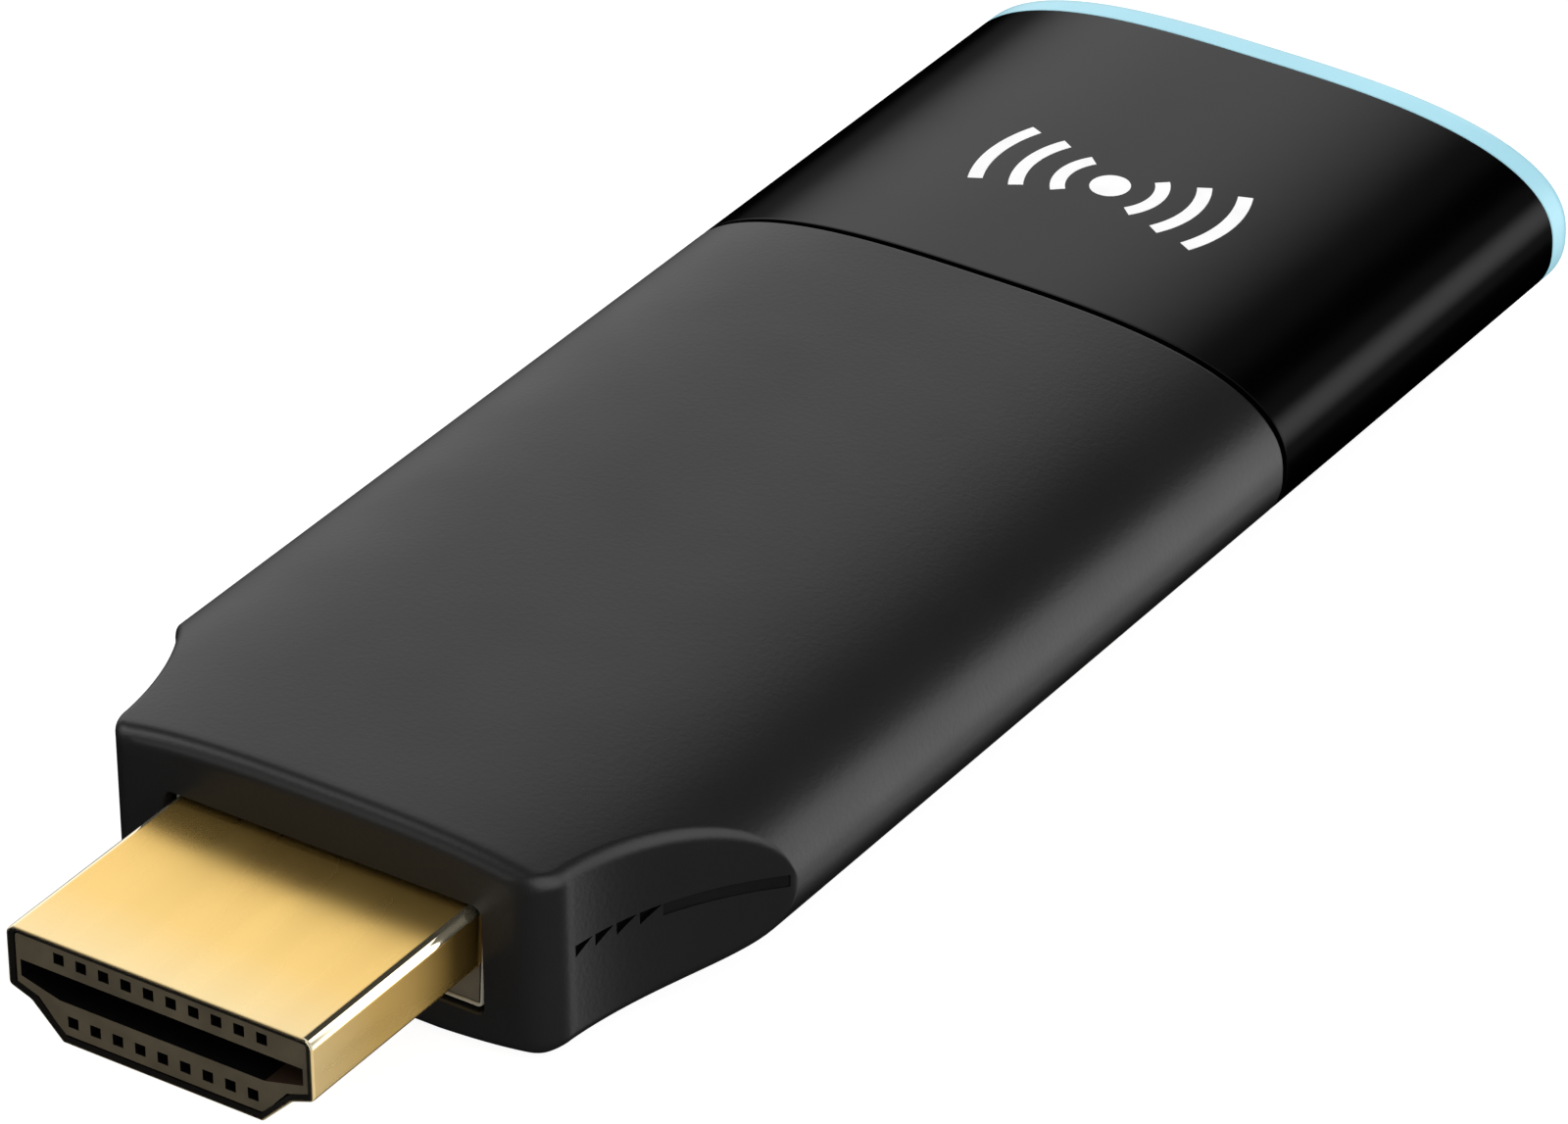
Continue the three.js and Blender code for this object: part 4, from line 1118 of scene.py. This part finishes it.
def paint_light_and_shade_in_recesses(node):
    """The slot and the contact windows get a near-black copy of the moulding, painted shade,
    and the slot's foot that faces up and towards -X a brown copy, painted light. Everything else keeps
    the moulding's own colour."""
    shade_index, foot = 1, 2
    node.data.materials.append(INSULATOR_PAINTED_SHADE)
    node.data.materials.append(INSULATOR_PAINTED_LIGHT)
    low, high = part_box("plug_insulator")
    middle_z = (low.z + high.z) / 2
    skin = 0.1 * MM
    for polygon in node.data.polygons:
        centre = node.matrix_world @ polygon.center
        on_face = abs(polygon.normal.y) > 0.9 and centre.y - low.y < skin
        if on_face or on_outer_wall(centre, polygon.normal, low, high):
            continue
        # The foot that faces up and towards -X gets the brown, painted light; the rest inside, near
        # black, painted shade.
        sloping = polygon.normal.z > 0.5 and polygon.normal.x < -0.1
        polygon.material_index = foot if sloping and abs(centre.z - middle_z) < 1 * MM else shade_index


def on_outer_wall(centre, normal, low, high):
    """True where the face looks outwards from the middle of the moulding."""
    middle = (low + high) / 2
    away = Vector(((centre.x - middle.x) * normal.x, 0, (centre.z - middle.z) * normal.z))
    near_edge = min(high.x - abs(centre.x), centre.z - low.z, high.z - centre.z) < 0.35 * MM
    chamfer = centre.z < middle.z - 0.3 * MM and normal.z < -0.2 and abs(normal.x) > 0.2
    return (near_edge or chamfer) and away.x + away.z > 0


def dress_cad_nodes():
    """Gives every CAD node the finish of its record slot, and fine edges where it shows."""
    slots = {s["node"]: s["material_slot"] for s in frame["record"]["subparts"]}
    for name, node in frame["nodes"].items():
        node.data.materials.clear()
        node.data.materials.append(SLOT_MATERIALS[slots[name]])
        # The contacts get the darkened gold instead of their slot's finish: painted shade.
        if name.startswith("plug_contact"):
            node.data.materials[0] = CONTACT_PAINTED_SHADE
        if node.hide_render:
            continue
        if name == "plug_insulator":
            paint_light_and_shade_in_recesses(node)
            continue
        bevel = node.modifiers.new("edges", "BEVEL")
        bevel.width = 0.03 * MM
        bevel.segments = 2
        bevel.limit_method = "ANGLE"
        bevel.harden_normals = True


# ---------------------------------------------------------------- studio


def build_camera():
    """A long lens, down on the front right corner."""
    azimuth, elevation, roll = (math.radians(a) for a in (34.455, 32.123, -0.809))
    distance, right_of_centre, above_centre = 350.109, 17.106, 12.274
    cos_az, sin_az = math.cos(azimuth), math.sin(azimuth)
    cos_el, sin_el = math.cos(elevation), math.sin(elevation)
    right = Vector((cos_az, sin_az, 0))
    up = Vector((-sin_az * sin_el, cos_az * sin_el, cos_el))
    back = Vector((sin_az * cos_el, -cos_az * cos_el, sin_el))
    rolled_right = math.cos(roll) * right + math.sin(roll) * up
    rolled_up = -math.sin(roll) * right + math.cos(roll) * up
    place = right_of_centre * rolled_right + above_centre * rolled_up + distance * back
    data = bpy.data.cameras.new("camera")
    data.sensor_width = 36.0
    data.lens = 217.08
    data.clip_start, data.clip_end = 0.01, 20.0
    camera = bpy.data.objects.new("camera", data)
    turn = Matrix((rolled_right, rolled_up, back)).transposed().to_4x4()
    camera.matrix_world = Matrix.Translation(at(*place)) @ turn
    bpy.context.scene.collection.objects.link(camera)
    bpy.context.scene.camera = camera


def build_floor():
    """A pale plane just below the underside, so that the two don't share a plane."""
    size = 3.0
    gap = 0.05 * MM
    mesh = bpy.data.meshes.new("floor")
    corners = [(-size, -size, 0), (size, -size, 0), (size, size, 0), (-size, size, 0)]
    mesh.from_pydata(corners, [], [(0, 1, 2, 3)])
    floor = bpy.data.objects.new("floor", mesh)
    bpy.context.scene.collection.objects.link(floor)
    floor.location.z = -gap
    floor.visible_glossy = False
    floor.visible_diffuse = False
    floor.visible_shadow = False
    material = bpy.data.materials.new("floor")
    material.use_nodes = True
    shader = material.node_tree.nodes["Principled BSDF"]
    shader.inputs["Base Color"].default_value = (0.3, 0.3, 0.3, 1)
    shader.inputs["Roughness"].default_value = 0.9
    shader.inputs["Specular IOR Level"].default_value = 0.0
    shader.inputs["Emission Color"].default_value = (1, 1, 1, 1)
    shader.inputs["Emission Strength"].default_value = 0.92
    mesh.materials.append(material)


def ramp(nodes, value, stops):
    """0 to 1 between the first two stops, 1 to the third, back to 0 at the last."""
    rise = nodes.add("ShaderNodeMapRange", interpolation_type="SMOOTHSTEP")
    rise.inputs["From Min"].default_value = stops[0]
    rise.inputs["From Max"].default_value = stops[1]
    nodes.link(value, rise.inputs["Value"])
    fall = nodes.add("ShaderNodeMapRange", interpolation_type="SMOOTHSTEP")
    fall.inputs["From Min"].default_value = stops[3]
    fall.inputs["From Max"].default_value = stops[2]
    nodes.link(value, fall.inputs["Value"])
    product = nodes.add("ShaderNodeMath", operation="MULTIPLY")
    nodes.link(rise.outputs["Result"], product.inputs[0])
    nodes.link(fall.outputs["Result"], product.inputs[1])
    return product.outputs["Value"]


def strip_light(name, angles, lengths, radiance, receivers):
    """A long soft light beside the Y axis. angles are where it starts, is full, is no
    longer full and ends, in degrees round Y from +X towards +Z. lengths are the same
    four places along Y, in metres."""
    distance = 0.6
    middle = math.radians((angles[0] + angles[3]) / 2)
    half = math.radians((angles[3] - angles[0]) / 2)
    width = 2 * distance * math.tan(half)
    length = lengths[3] - lengths[0]
    data = bpy.data.lights.new(name, "AREA")
    data.shape = "RECTANGLE"
    data.size, data.size_y = width, length
    data.energy = math.pi * width * length * radiance
    data.use_nodes = True
    nodes = Nodes(data.node_tree)
    emission = data.node_tree.nodes["Emission"]
    coords = nodes.add("ShaderNodeTexCoord")
    split = nodes.add("ShaderNodeSeparateXYZ")
    nodes.link(coords.outputs["UV"], split.inputs["Vector"])
    across = [0.5 - math.tan(math.radians(a) - middle) / math.tan(half) / 2 for a in angles]
    along = [(y - lengths[0]) / length for y in lengths]
    product = nodes.add("ShaderNodeMath", operation="MULTIPLY")
    nodes.link(ramp(nodes, split.outputs["X"], across), product.inputs[0])
    nodes.link(ramp(nodes, split.outputs["Y"], along), product.inputs[1])
    nodes.link(product.outputs["Value"], emission.inputs["Strength"])
    lamp = bpy.data.objects.new(name, data)
    bpy.context.scene.collection.objects.link(lamp)
    out = Vector((math.cos(middle), 0, math.sin(middle)))
    along_y = Vector((0, 1, 0))
    side = along_y.cross(out)
    turn = Matrix((side, along_y, out)).transposed().to_4x4()
    centre = out * distance + along_y * (lengths[0] + length / 2)
    lamp.matrix_world = Matrix.Translation(centre) @ turn
    lamp.visible_camera = False
    lamp.visible_diffuse = False
    lamp.visible_transmission = False
    lamp.light_linking.receiver_collection = receivers


def lit_by_own_lamps(name, pieces):
    """A collection of the pieces that a set of lamps is to light."""
    collection = bpy.data.collections.new(name)
    for piece in pieces:
        collection.objects.link(bpy.data.objects[piece])
    return collection


def all_but(name, pieces):
    """The same, for lamps that light everything except these pieces."""
    collection = lit_by_own_lamps(name, pieces)
    for entry in collection.collection_objects:
        entry.light_linking.link_state = "EXCLUDE"
    return collection


def build_lights():
    """A white sky and soft lamps beside the object. The housing's wide highlights and the
    cap's narrow ones come from lamps of their own, and so do the gold plug's."""
    world = bpy.data.worlds.new("studio")
    bpy.context.scene.world = world
    world.use_nodes = True
    background = world.node_tree.nodes["Background"]
    background.inputs["Color"].default_value = (1, 1, 1, 1)
    background.inputs["Strength"].default_value = 1.06
    world.cycles_visibility.glossy = False

    cap = lit_by_own_lamps("cap_pieces", ["cap_shell"])
    plug = lit_by_own_lamps("plug_pieces", ["plug_shell_gold"])
    body = all_but("body_pieces", ["cap_shell", "plug_shell_gold"])

    strip_light("left_rear", (98, 128, 155, 207), (0.14, 0.22, 2.2, 2.8), 0.98, body)
    strip_light("left_front", (105, 125, 165, 195), (-0.42, -0.34, -0.13, -0.07), 2.2, body)
    strip_light("left_far", (115, 135, 165, 195), (-1.7, -1.3, -0.75, -0.6), 1.0, body)
    strip_light("right_rear", (-63, -12, 12, 54), (0.34, 0.50, 1.1, 1.5), 2.5, body)
    strip_light("right_front", (-14, 4, 50, 72), (-1.3, -0.9, 0.16, 0.34), 1.95, body)

    strip_light("plug_top", (112, 124, 170, 200), (0.10, 0.18, 2.2, 2.8), 1.12, plug)
    strip_light("plug_front", (114, 126, 160, 190), (-0.9, -0.8, -0.4, -0.2), 0.35, plug)
    strip_light("plug_edge", (-38, -30, 58, 64), (0.3, 0.4, 1.1, 1.5), 2.6, plug)
    strip_light("plug_side", (-78, -62, -36, -22), (0.05, 0.2, 1.1, 1.5), 0.33, plug)
    middle = (-0.26, -0.12, 0.1, 0.24)
    strip_light("plug_above", (30, 60, 120, 150), middle, 0.8, plug)
    strip_light("plug_right", (-70, -40, 20, 50), (-0.26, -0.12, 0.28, 0.4), 0.7, plug)
    strip_light("plug_left", (130, 160, 200, 230), middle, 0.7, plug)
    strip_light("plug_below", (220, 245, 295, 320), middle, 0.5, plug)
    strip_light("plug_front_right", (-60, -30, 60, 86), (-1.4, -1.1, -0.4, -0.2), 0.8, plug)

    whole = (-1.4, -1.0, 1.0, 1.4)
    strip_light("cap_left", (99, 139, 140, 169), whole, 0.76, cap)
    strip_light("cap_left_haze", (78, 98, 168, 188), whole, 0.06, cap)
    strip_light("cap_right", (-22, 12, 16, 41), whole, 0.66, cap)
    strip_light("cap_right_haze", (-50, -24, 44, 70), whole, 0.07, cap)
    strip_light("cap_above", (40, 62, 118, 140), (-0.2, -0.08, 0.1, 0.22), 0.5, cap)


build_camera()
build_housing()
build_cap()
build_plate()
build_button()
build_light_guide()
build_port_shell()
build_plug_shell()
build_collar()
build_print()
dress_cad_nodes()
build_floor()
build_lights()
bpy.context.scene.view_settings.view_transform = "Standard"
